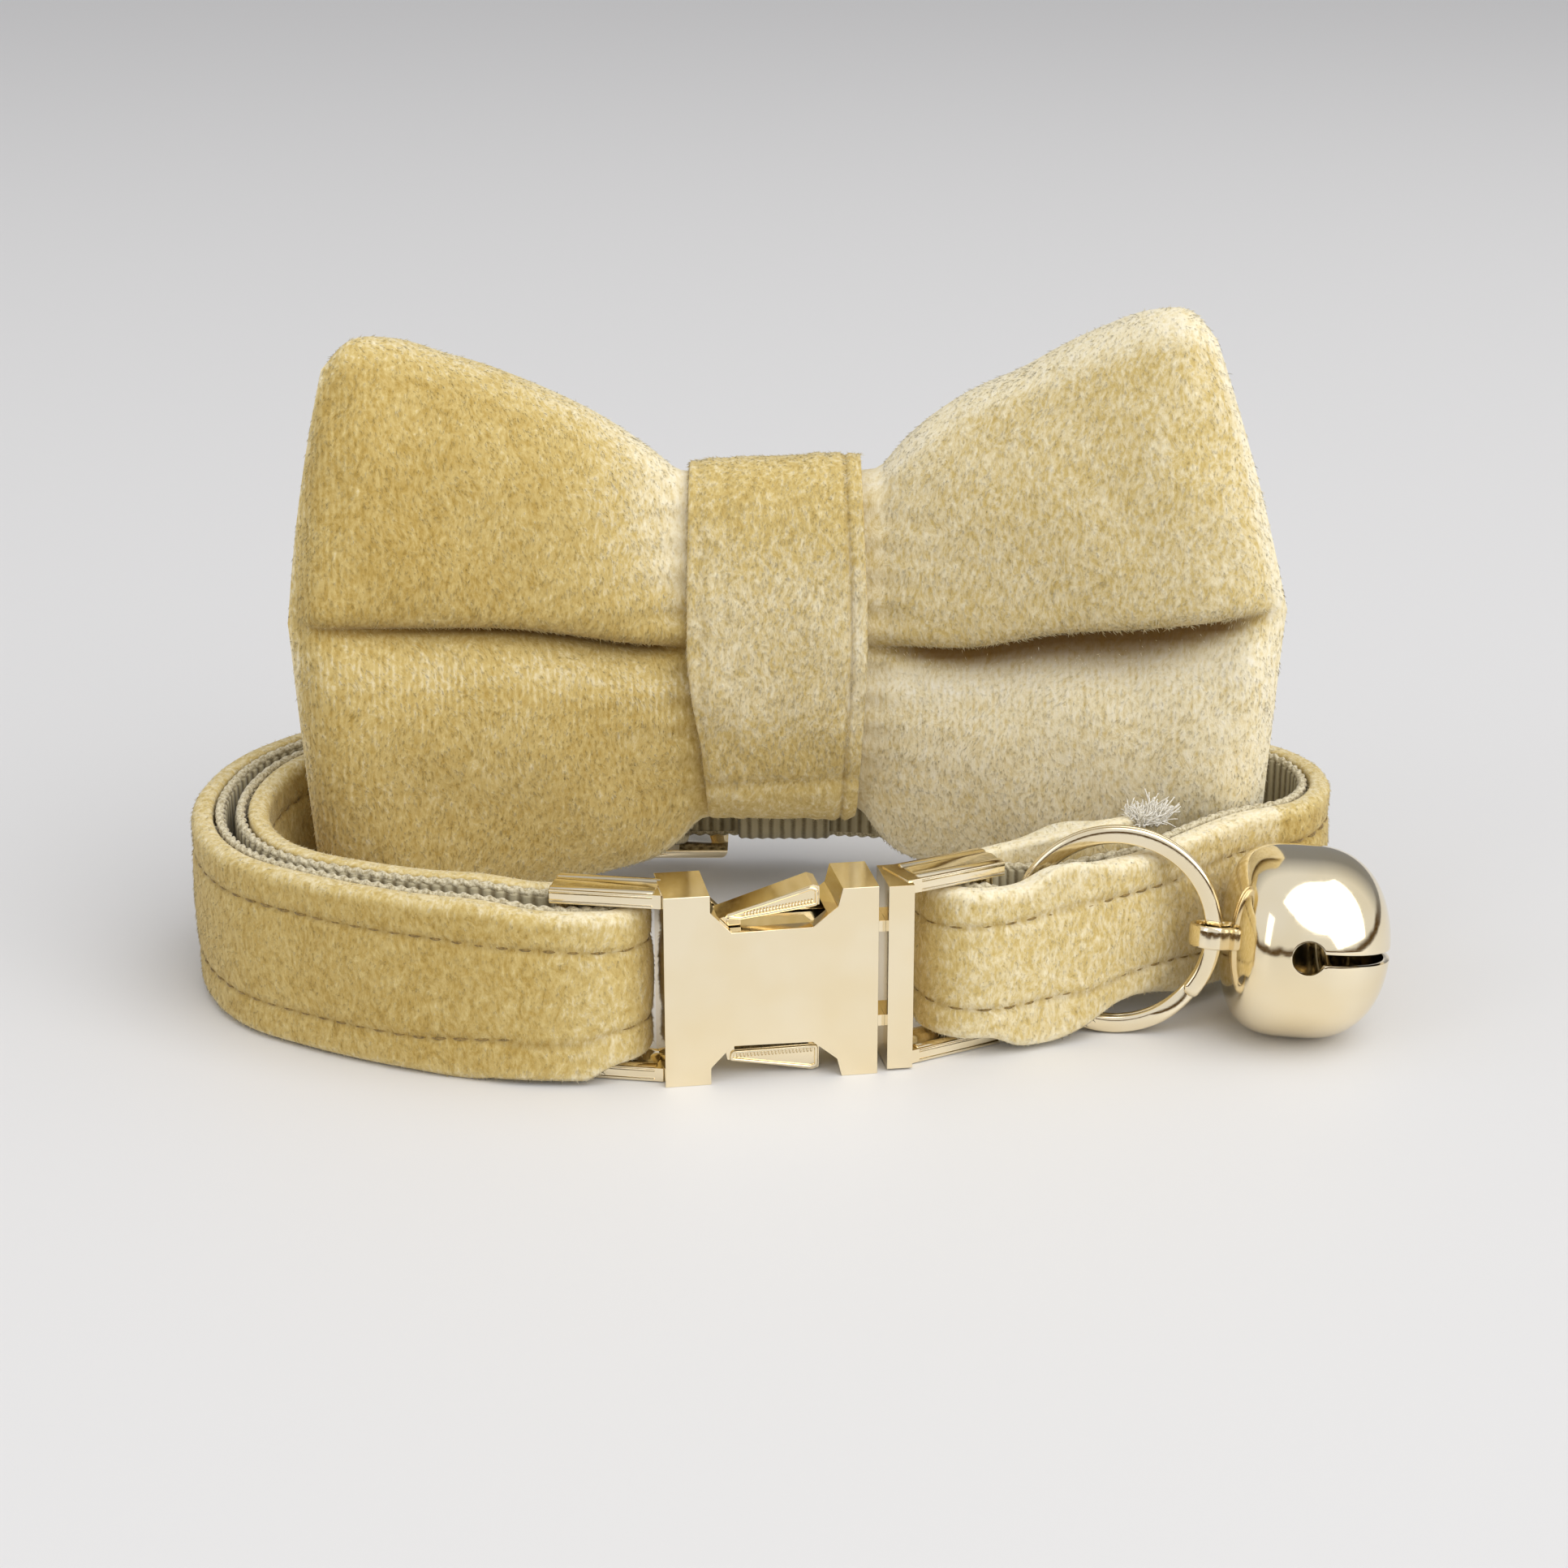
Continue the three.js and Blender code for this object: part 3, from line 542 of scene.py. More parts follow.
@dataclass(frozen=True)
class Yarn:
    """Spun polyester yarn: soft, matt, with painted shade darkening the hollows between its fibres.
    """

    name: str
    light: str
    dark: str
    fibre: float = 0.12

    def material(self) -> bpy.types.Material:
        """Builds the node material."""
        made, tree = new_material(self.name)
        place = add_node(tree, "ShaderNodeTexCoord").outputs["Object"]
        fibres = add_node(tree, "ShaderNodeTexNoise", {
            "Vector": place, "Scale": 1 / (self.fibre * 2 * MM), "Detail": 2.0})
        # The colour follows the fibre relief and is darkened as painted shade where the relief is
        # low.
        tone = add_node(tree, "ShaderNodeValToRGB", {"Fac": fibres.outputs[0]})
        set_ramp(tone, [(0.32, self.dark), (0.62, self.light)])
        relief = add_node(tree, "ShaderNodeBump", {
            "Strength": 0.5, "Distance": 0.06 * MM, "Height": fibres.outputs[0]})
        shader = add_node(tree, "ShaderNodeBsdfPrincipled", {
            "Base Color": tone.outputs[0], "Roughness": 0.75, "Sheen Weight": 0.3,
            "Sheen Roughness": 0.4, "Normal": relief.outputs[0]})
        add_node(tree, "ShaderNodeOutputMaterial", {"Surface": shader.outputs[0]})
        return made


@dataclass(frozen=True)
class GiltMetal:
    """Zinc alloy polished and plated light gold: a warm pale mirror with faint polishing marks."""

    name: str = "Polished light gold plate on zinc"
    colour: str = "F6E9CB"
    warm: str = "F3E3BF"
    roughness: float = 0.085

    def material(self) -> bpy.types.Material:
        """Builds the node material."""
        made, tree = new_material(self.name)
        place = add_node(tree, "ShaderNodeTexCoord").outputs["Object"]
        cloud = add_node(tree, "ShaderNodeTexNoise", {
            "Vector": place, "Scale": 1 / (6.0 * MM), "Detail": 2.0})
        tone = add_node(tree, "ShaderNodeValToRGB", {"Fac": cloud.outputs[0]})
        set_ramp(tone, [(0.35, self.warm), (0.65, self.colour)])
        marks = add_node(tree, "ShaderNodeMapping", {
            "Vector": place, "Scale": (1.0, 1.0, 6.0)}).outputs[0]
        scratches = add_node(tree, "ShaderNodeTexNoise", {
            "Vector": marks, "Scale": 1 / (1.2 * MM), "Detail": 4.0, "Roughness": 0.7})
        rough = add_node(tree, "ShaderNodeMapRange", {
            "Value": scratches.outputs[0], "From Min": 0.3, "From Max": 0.75,
            "To Min": self.roughness * 0.7, "To Max": self.roughness * 1.7}).outputs[0]
        relief = add_node(tree, "ShaderNodeBump", {
            "Strength": 0.03, "Distance": 0.05 * MM, "Height": scratches.outputs[0]})
        shader = add_node(tree, "ShaderNodeBsdfPrincipled", {
            "Base Color": tone.outputs[0], "Metallic": 1.0, "Roughness": rough,
            "Normal": relief.outputs[0]})
        add_node(tree, "ShaderNodeOutputMaterial", {"Surface": shader.outputs[0]})
        return made


@dataclass(frozen=True)
class PaperSweep:
    """Pale paper sweep under the object: matt and even."""

    name: str = "Pale paper sweep"
    colour: str = "E2E1E0"

    def material(self) -> bpy.types.Material:
        """Builds the node material."""
        made, tree = new_material(self.name)
        place = add_node(tree, "ShaderNodeTexCoord").outputs["Object"]
        tooth = add_node(tree, "ShaderNodeTexNoise", {"Vector": place, "Scale": 900.0})
        relief = add_node(tree, "ShaderNodeBump", {
            "Strength": 0.05, "Distance": 0.1 * MM, "Height": tooth.outputs[0]})
        shader = add_node(tree, "ShaderNodeBsdfPrincipled", {
            "Base Color": linear(self.colour), "Roughness": 0.55, "Normal": relief.outputs[0]})
        add_node(tree, "ShaderNodeOutputMaterial", {"Surface": shader.outputs[0]})
        return made


@dataclass
class Pile:
    """Single fibres of the velvet that stand proud of its surface and make its edges soft."""

    name: str
    count: int
    length: Pair = (0.3, 0.65)
    width: float = 0.062
    lift: Pair = (0.25, 0.75)
    lie: Triple = (0.0, 0.0, -1.0)
    swirl: float = 0.55
    seed: int = 1

    def build(self, points: np.ndarray, weight: np.ndarray, pale: np.ndarray,
              look: bpy.types.Material) -> bpy.types.Object:
        """Grows the fibres on a grid that wraps across its columns.

        A fibre is a slim pyramid with a three-cornered foot. Its foot is spread evenly over the
        surface's area, and it leans along the lie of the pile, swung sideways by slow waves, and
        rises from the surface by its lift. It is shaded by the direction of the surface under it,
        so that it takes the light as the pile round it does, and its colour takes the surface's
        painted light and sheen, a little paler, with a paler tip as painted sheen.

        Args:
            points: Rows by columns by three, whose columns close on themselves.
            weight: Share of fibres that each point gets, rows by columns.
            pale: The surface's own mark of that name, its painted light and sheen, rows by columns.
            look: The fibre's material.

        Returns:
            The piece.
        """
        rng = np.random.default_rng(self.seed)
        right = np.roll(points, -1, 1)
        a, b, c, d = points[:-1], right[:-1], right[1:], points[1:]
        normal = np.cross(c - a, d - b)
        area = np.linalg.norm(normal, axis=-1)
        share = (area * weight[:-1]).ravel()
        cell = rng.choice(share.size, self.count, p=share / share.sum())
        s, t = rng.random((2, self.count, 1))
        a, b, c, d, normal = (v.reshape(-1, 3)[cell] for v in (a, b, c, d, normal))
        root = (a * (1 - s) + d * s) * (1 - t) + (b * (1 - s) + c * s) * t
        normal /= np.maximum(np.linalg.norm(normal, axis=1, keepdims=True), 1e-12)
        if self.inward(points):
            normal = -normal
        lie = np.array(self.lie) + rng.normal(0, 0.28, (self.count, 3))
        swing = self.swirl * waves(root[:, 0], root[:, 2], (6.0, 16.0), self.seed + 7)
        lie[:, 0] += swing
        lie -= normal * (lie * normal).sum(1, keepdims=True)
        lie /= np.maximum(np.linalg.norm(lie, axis=1, keepdims=True), 1e-9)
        lift = rng.uniform(*self.lift, (self.count, 1))
        way = lie * np.cos(lift) + normal * np.sin(lift)
        side = np.cross(way, normal)
        side /= np.maximum(np.linalg.norm(side, axis=1, keepdims=True), 1e-9)
        other = np.cross(way, side)
        turn = rng.uniform(0, math.tau, (self.count, 1)) + np.arange(3) * math.tau / 3
        foot = (root - normal * 0.08)[:, None] + self.width * (
            np.cos(turn)[..., None] * side[:, None] + np.sin(turn)[..., None] * other[:, None])
        tip = root + way * rng.uniform(*self.length, (self.count, 1))
        corners = np.concatenate([foot, tip[:, None]], 1).reshape(-1, 3)
        first = np.arange(self.count)[:, None] * 4
        faces = np.array([[0, 2, 1], [0, 1, 3], [1, 2, 3], [2, 0, 3]]).ravel()
        index = (first + faces[None, :]).reshape(-1, 3)
        # Painted sheen: each fibre takes the surface's pale mark plus a little, and more again at
        # its tip.
        own = pale[:-1].ravel()[cell]
        tips = rng.uniform(0.1, 0.4, self.count) * np.array([[0.2], [0.2], [0.2], [1.0]])
        pale = np.clip(own + 0.05 + tips, 0, 1).T.ravel()
        surface = Surface([corners], [index], [np.zeros((len(index), 3, 2))], {"pale": [pale]},
                          len(corners))
        facing = (normal + 0.35 * way).repeat(4, axis=0)
        facing /= np.linalg.norm(facing, axis=1, keepdims=True)
        return finished(surface.build(self.name, normals=facing), look, Slot.VELVET)

    @staticmethod
    def inward(points: np.ndarray) -> bool:
        """Whether the grid's own faces point inwards, by the volume they enclose."""
        return Surface().grid(points, None, (False, True), (True, True)).volume() < 0


@dataclass
class StrapRoute:
    """The run of the strap seen from above, with the height and width of the velvet along it.

    The rows hold X, Y, the height of the lower edge, the width there, and how far the lining is
    tucked in on both edges.
    """

    thickness: float = 3.1
    width: float = 15.8
    outer: tuple[tuple[float, ...], ...] = (
        (-15.8, 1.6, 1.7, 13.6, 0), (-20.6, 1.6, 1.6, 13.8, 0), (-25.0, 2.3, 0.2, 15.8, 0),
        (-32.0, 4.6, 0.15, 15.8, 0), (-40.0, 8.6, 0.15, 15.8, 0), (-47.2, 13.8, 0.2, 15.8, 0),
        (-51.4, 20.8, 0.5, 15.8, 0), (-52.6, 28.8, 1.2, 15.8, 0), (-50.6, 36.1, 2.1, 15.8, 0),
        (-44.8, 42.4, 2.9, 15.8, 0), (-37.0, 47.6, 3.5, 15.8, 0), (-27.0, 51.9, 3.9, 15.8, 0),
        (-15.0, 54.3, 4.0, 15.8, 0), (-3.0, 54.8, 4.0, 15.8, 0), (8.0, 54.2, 4.0, 15.8, 0),
        (20.0, 51.4, 3.7, 15.8, 0), (32.0, 47.0, 3.2, 15.8, 0), (42.0, 41.9, 2.6, 15.8, 0),
        (48.1, 36.8, 2.0, 15.8, 0), (49.3, 31.0, 1.6, 15.8, 0), (46.6, 25.2, 1.4, 15.8, 0),
        (40.6, 22.6, 1.2, 15.6, 0), (35.3, 18.0, 1.7, 14.8, 0), (32.0, 15.2, 2.7, 13.4, 0),
        (28.9, 13.0, 2.9, 13.1, 0.4), (25.8, 11.0, 2.0, 14.2, 2.1), (22.8, 9.6, 0.6, 15.8, 1.4),
        (20.0, 8.3, 0.6, 14.8, 1.0), (17.7, 7.4, 1.7, 13.6, 0),
    )
    right_return: tuple[tuple[float, ...], ...] = (
        (15.5, 14.7, 1.7, 13.6, 0), (19.4, 17.6, 1.6, 13.8, 1.2), (24.0, 18.5, 1.5, 14.6, 2.2),
        (28.4, 19.2, 1.6, 15.4, 2.4), (33.5, 22.8, 1.6, 15.0, 2.4),
    )
    gap_shares: tuple[float, ...] = (0.0, 0.1, 0.25, 0.42, 0.6, 0.75, 0.9, 1.0)
    gap_sizes: tuple[float, ...] = (3.0, 2.2, 0.7, 0.8, 1.3, 1.9, 0.9, 0.4)
    return_end: float = -19.0
    fold_low: float = 1.7
    fold_tall: float = 13.6

    def half_turn(self, centre: Pair, radius: float, start: float, end: float) -> np.ndarray:
        """Rows on a half circle, without its two ends.

        Args:
            centre: X and Y of the circle's middle.
            radius: Its radius.
            start: Angle of its first end, in radians.
            end: Angle of its last end.

        Returns:
            Rows as in the outer layer, at the fold's height and width.
        """
        angle = np.linspace(start, end, 7)[1:-1]
        rows = np.zeros((len(angle), 5))
        rows[:, 0] = centre[0] + radius * np.cos(angle)
        rows[:, 1] = centre[1] + radius * np.sin(angle)
        rows[:, 2], rows[:, 3] = self.fold_low, self.fold_tall
        return rows

    def left_return(self) -> np.ndarray:
        """The outer layer moved inwards by the strap's thickness and the dark gap."""
        rows = smooth_route(np.array(self.outer), 6.0)
        rows = rows[rows[:, 0] < 0]
        along = directions(rows[:, :2])
        share = np.linspace(0, 1, len(rows))
        move = self.thickness + np.interp(share, self.gap_shares, self.gap_sizes)
        rows[:, 0] += along[:, 1] * move
        rows[:, 1] -= along[:, 0] * move
        kept = (rows[:, 1] < 30) | (rows[:, 0] < self.return_end)
        return rows[kept][::-1]

    def knots(self) -> np.ndarray:
        """Every row in order, from the slider to the frayed end behind the ring."""
        inner, outer = self.left_return(), np.array(self.outer)
        back = np.array(self.right_return)
        start, end, last = outer[0], inner[-1], outer[-1]
        socket = self.half_turn((start[0], (start[1] + end[1]) / 2), (end[1] - start[1]) / 2,
                                math.pi / 2, -math.pi / 2)
        across = back[0, :2] - last[:2]
        angle = math.atan2(-across[1], -across[0])
        middle = (last[:2] + back[0, :2]) / 2
        plug = self.half_turn((middle[0], middle[1]), float(np.linalg.norm(across)) / 2,
                              angle, angle - math.pi)
        return np.vstack([inner, socket, outer, plug, back])

    def rows(self, spacing: float) -> np.ndarray:
        """The whole run, evenly spaced."""
        return smooth_route(self.knots(), spacing)


@dataclass
class Strap:
    """The velvet strap with its stitched edges, the ribbed lining and its twisted selvedges."""

    route: StrapRoute = field(default_factory=StrapRoute)
    velvet_thickness: float = 1.9
    lining_thickness: float = 0.9
    lining_inset: float = 0.5
    outer_round: float = 0.9
    inner_round: float = 0.45
    seam_inset: float = 3.3
    seam_depth: float = 0.2
    stitch_pitch: float = 1.9
    stitch_length: float = 1.3
    rib_pitch: float = 1.1
    selvedge_radius: float = 0.36
    droop: float = 0.8
    crown: float = 0.9
    pile: Pile = field(default_factory=lambda: Pile(
        "strap_pile", 40000, (0.25, 0.5), 0.05, (0.15, 0.5), (0.25, 0.0, -1.0), 0.6, 3))
    fray_count: int = 330

    @staticmethod
    def frame_of(rows: np.ndarray) -> tuple[np.ndarray, np.ndarray, np.ndarray]:
        """Path in the plane, its outward direction and the upward direction.

        Args:
            rows: Rows of the route.

        Returns:
            Three arrays, rows by three.
        """
        path = np.column_stack([rows[:, :2], np.zeros(len(rows))])
        along = directions(rows[:, :2])
        out = np.column_stack([-along[:, 1], along[:, 0], np.zeros(len(rows))])
        up = np.broadcast_to([0.0, 0.0, 1.0], path.shape)
        return path, out, up

    def seam_heights(self, rows: np.ndarray, spacing: float) -> np.ndarray:
        """Heights of the lower and the upper seam, straighter than the band's squeezed edges.

        Each edge is a moving average along the run over about 16 mm, and the seam keeps its inset
        from that average.

        Args:
            rows: Rows of the route.
            spacing: Distance between rows.

        Returns:
            Rows by two.
        """
        wide = max(1, round(8.0 / spacing))
        edges = np.column_stack([rows[:, 2], rows[:, 2] + rows[:, 3]])
        padded = np.pad(edges, ((wide, wide), (0, 0)), mode="edge")
        total = np.cumsum(np.vstack([[[0.0, 0.0]], padded]), axis=0)
        mean = (total[2 * wide + 1:] - total[:-2 * wide - 1]) / (2 * wide + 1)
        return mean + np.array([self.seam_inset, -self.seam_inset])

    def edge_section(self, inner: float, outer: float, rounds: Pair,
                     face_points: int) -> tuple[np.ndarray, np.ndarray, np.ndarray]:
        """Closed section of a flat band with rounded edges.

        A point's height is its share of the band's width plus its own offset.

        Args:
            inner: Distance of the inner face from the middle of the strap.
            outer: Distance of the outer face.
            rounds: Radii of the inner and the outer corners.
            face_points: Number of points on the outer face.

        Returns:
            Side distances, shares and offsets, one of each per point.
        """
        quarter = np.linspace(0, math.pi / 2, 5)
        ri, ro = rounds
        side, share, offset = [], [], []
        for centre, radius, turn, top in (
                (inner + ri, ri, math.pi, 0.0), (outer - ro, ro, 1.5 * math.pi, 0.0)):
            side.append(centre + radius * np.cos(quarter + turn))
            offset.append(radius + radius * np.sin(quarter + turn))
            share.append(np.full(5, top))
        face = np.linspace(0, 1, face_points + 2)[1:-1]
        side.append(np.full(face_points, outer))
        share.append(face)
        offset.append(ro * (1 - 2 * face))
        for centre, radius, turn in ((outer - ro, ro, 0.0), (inner + ri, ri, math.pi / 2)):
            side.append(centre + radius * np.cos(quarter + turn))
            offset.append(-radius + radius * np.sin(quarter + turn))
            share.append(np.ones(5))
        face = np.linspace(1, 0, 8)[1:-1]
        side.append(np.full(6, inner))
        share.append(face)
        offset.append(ri * (1 - 2 * face))
        return np.concatenate(side), np.concatenate(share), np.concatenate(offset)

    def velvet(self, look: bpy.types.Material) -> None:
        """Builds the velvet band and its pile.

        The side distance of the outer face is the flat one, plus a low crown, less a groove along
        each seam, plus a slow unevenness. The front's lower edge sags where the ring takes the
        strap up.

        Args:
            look: The velvet.
        """
        rows = self.route.rows(0.42)
        path, out, up = self.frame_of(rows)
        outer = self.route.thickness / 2
        side, share, offset = self.edge_section(
            outer - self.velvet_thickness, outer, (self.inner_round, self.outer_round), 34)
        low, tall = rows[:, 2:3], rows[:, 3:4]
        height = share * tall + offset
        edge = np.minimum(height, tall - height)
        front = side > outer - 0.5
        run = np.arange(len(rows))[:, None] * 0.42
        seams = self.seam_heights(rows, 0.42)
        from_seam = np.abs((low + height)[..., None] - seams[:, None]).min(-1)
        seam = np.exp(-(from_seam / 0.3) ** 2) * front
        pucker = 1 + 0.3 * np.cos(math.tau * run / self.stitch_pitch)
        uneven = waves(run + 0 * height, height, (9.0, 30.0), 11)
        fine = waves(run + 0 * height, height, (2.0, 5.0), 12)
        crown = 0.14 * np.clip((edge - self.seam_inset) / 3, 0, 1)
        away = side + front * (0.07 * uneven + 0.03 * fine + crown
                               - self.seam_depth * seam * pucker)
        droop = self.droop * np.exp(-((path[:, :1] - 25.6) / 2.6) ** 2) * (path[:, 1:2] < 20)
        past = np.clip((-14.0 - path[:, :1]) / 3.0, 0, 1)
        droop = droop + (low - 0.2) * past**2 * (3 - 2 * past) * (path[:, 1:2] < 3.2)
        lower = low - droop * front * np.clip(1 - height / 6, 0, 1)
        crown_up = self.crown * np.exp(-((path[:, :1] - 24.6) / 2.8) ** 2) * (path[:, 1:2] < 20)
        lower = lower + crown_up * front * np.clip((height - tall + 6) / 6, 0, 1)
        section = np.stack([away, np.maximum(lower + height, 0.05)], -1)
        # Painted light and sheen in the pale mark: paler along the rounded edges as sheen, paler on
        # the front stretch right of X 10, which faces the key light, and a pale patch by the
        # buckle's left end.
        pale = np.clip(1 - edge / 1.2, 0, 1) * 0.5 * np.ones_like(away)
        near = (path[:, 1:2] < 24) * np.ones_like(away)
        pale = pale + near * (0.5 * np.clip((path[:, :1] - 10) / 6, 0, 1)
                              + 0.34 * np.exp(-((path[:, :1] + 15.5) / 4.5) ** 2))
        points = tube(path, out, up, section)
        # The seam mark paints shade along the two stitch grooves, at 0.3 of the groove's strength.
        surface = Surface().grid(points, None, (False, True), (True, True),
                                 pale=pale, seam=seam * 0.3)
        finished(surface.build("velvet_strap_cover"), look, Slot.VELVET, "velvet_strap")
        outside = (front | (edge < 0.8)) & (from_seam > 0.16)
        self.pile.build(points, outside * 1.0, pale, look)

    def lining(self, look: bpy.types.Material) -> bpy.types.Object:
        """Builds the ribbed lining.

        The inner face's side distance falls and rises as a cosine of the run, one rib to a wave.

        Args:
            look: The webbing.

        Returns:
            The piece.
        """
        spacing = 0.15
        rows = self.route.rows(spacing)
        path, out, up = self.frame_of(rows)
        inner = -self.route.thickness / 2
        side, share, offset = self.edge_section(
            inner, inner + self.lining_thickness, (0.22, 0.22), 4)
        inset = self.lining_inset + rows[:, 4:5]
        height = inset + share * (rows[:, 3:4] - 2 * inset) + offset
        run = np.arange(len(rows))[:, None] * spacing
        face = side < inner + 0.25
        rib = 0.5 + 0.5 * np.cos(math.tau * run / self.rib_pitch)
        section = np.stack([side + 0.1 * rib * face, rows[:, 2:3] + height], -1)
        columns = np.arange(len(side) + 1) * 0.15
        uv = np.stack([run / 10 + 0 * columns, 0 * run + columns], -1)
        surface = Surface().grid(tube(path, out, up, section), uv, (False, True), (True, True))
        return finished(surface.build("webbing_lining_tape"), look, Slot.WEBBING, "webbing_lining")

    def selvedges(self, look: bpy.types.Material) -> bpy.types.Object:
        """Builds the twisted edge yarns of the lining.

        The radius of the section is a circle's plus a share of the cosine of twice the angle, and
        that pattern turns once in each lay of the yarn.

        Args:
            look: The yarn.

        Returns:
            The piece.
        """
        rows = self.route.rows(0.24)
        path, out, up = self.frame_of(rows)
        run = np.arange(len(rows))[:, None] * 0.24
        angle = np.arange(9)[None, :] * math.tau / 9
        radius = self.selvedge_radius * (1 + 0.3 * np.cos(2 * (angle - math.pi * run / 1.2)))
        surface = Surface()
        inset = self.lining_inset + rows[:, 4:5]
        for share, way in ((0.0, 1.0), (1.0, -1.0)):
            height = rows[:, 2:3] + share * rows[:, 3:4] + way * (inset - 0.12)
            section = np.stack([-1.02 + radius * np.cos(angle),
                                height + radius * np.sin(angle)], -1)
            surface.grid(tube(path, out, up, section), None, (False, True), (True, True))
        return finished(surface.build("lining_selvedges"), look, Slot.WEBBING)

    def stitches(self, look: bpy.types.Material) -> bpy.types.Object:
        """Builds the seams' stitches, each a short thread that dips into the pile at both ends.

        Args:
            look: The thread.

        Returns:
            The piece.
        """
        rows = self.route.rows(0.05)
        run = np.arange(len(rows)) * 0.05
        starts = np.arange(4.0, run[-1] - 6.0, self.stitch_pitch)
        at = starts[:, None] + np.linspace(0, self.stitch_length, 6)[None, :]
        index = np.clip((at / 0.05).astype(int), 0, len(rows) - 1)
        path, out, _ = self.frame_of(rows)
        bend = np.sin(np.linspace(0, math.pi, 6))[None, :]
        thick = (0.05 + 0.075 * bend**0.5)[..., None]
        angle = np.arange(6) * math.tau / 6
        surface = Surface()
        seams = self.seam_heights(rows, 0.05)
        for seam in seams.T:
            side = self.route.thickness / 2 - self.seam_depth - 0.08 + 0.13 * bend
            middle = path[index] + out[index] * side[..., None]
            middle[..., 2] = seam[index]
            ring = (middle[..., None, :]
                    + out[index][..., None, :] * (thick * np.cos(angle))[..., None]
                    + np.array([0.0, 0.0, 1.0]) * (thick * np.sin(angle))[..., None])
            for stitch in ring:
                surface.grid(stitch, None, (False, True), (True, True))
        return finished(surface.build("strap_stitches"), look, Slot.VELVET)

    def frayed_end(self, look: bpy.types.Material) -> bpy.types.Object:
        """Builds the loose threads at the cut end behind the ring.

        Each thread is a tapered tube on a parabola: its start, plus its direction times the share,
        plus its droop times the share squared.

        Args:
            look: The white yarn.

        Returns:
            The piece.
        """
        rng = np.random.default_rng(5)
        rows = self.route.rows(0.1)
        path, out, _ = self.frame_of(rows)
        count = self.fray_count
        tuft = rng.integers(0, 3, count)
        back = np.array([1.0, 12.0, 26.0])[tuft] + rng.normal(0, 2.6, count)
        pick = len(rows) - 1 - np.clip(np.abs(back), 0, 60).astype(int)
        height = rows[pick, 2] + rows[pick, 3] - rng.uniform(0.1, 0.7, count)
        start = path[pick] + out[pick] * rng.uniform(-1.2, 1.1, count)[:, None]
        start[:, 2] = height
        along = directions(path)[pick]
        lean = along * (rng.normal(0.3, 0.45, count) + np.array([0.9, 0.4, 0.0])[tuft])[:, None]
        lean += out[pick] * rng.normal(0, 0.3, count)[:, None]
        lean[:, 2] += rng.uniform(0.4, 1.2, count)
        lean /= np.linalg.norm(lean, axis=1, keepdims=True)
        length = (rng.uniform(0.7, 1.6, count) * np.array([1.2, 1.1, 0.8])[tuft])[:, None, None]
        droop = rng.normal(0, 0.5, (count, 1, 3))
        share = np.linspace(0, 1, 6)[None, :, None]
        middle = start[:, None] + lean[:, None] * length * share + droop * share**2
        ways = np.gradient(middle, axis=1)
        ways /= np.linalg.norm(ways, axis=2, keepdims=True)
        side = np.cross(ways, [0.3, 0.9, 0.2])
        side /= np.linalg.norm(side, axis=2, keepdims=True)
        other = np.cross(ways, side)
        thick = 0.1 * (1 - 0.5 * share)[..., None]
        angle = (np.arange(4) * math.tau / 4)[None, None, :, None]
        ring = middle[:, :, None] + thick * (np.cos(angle) * side[:, :, None]
                                             + np.sin(angle) * other[:, :, None])
        surface = Surface()
        for thread in ring:
            surface.grid(thread, None, (False, True), (True, True))
        return finished(surface.build("frayed_threads"), look, Slot.WEBBING)


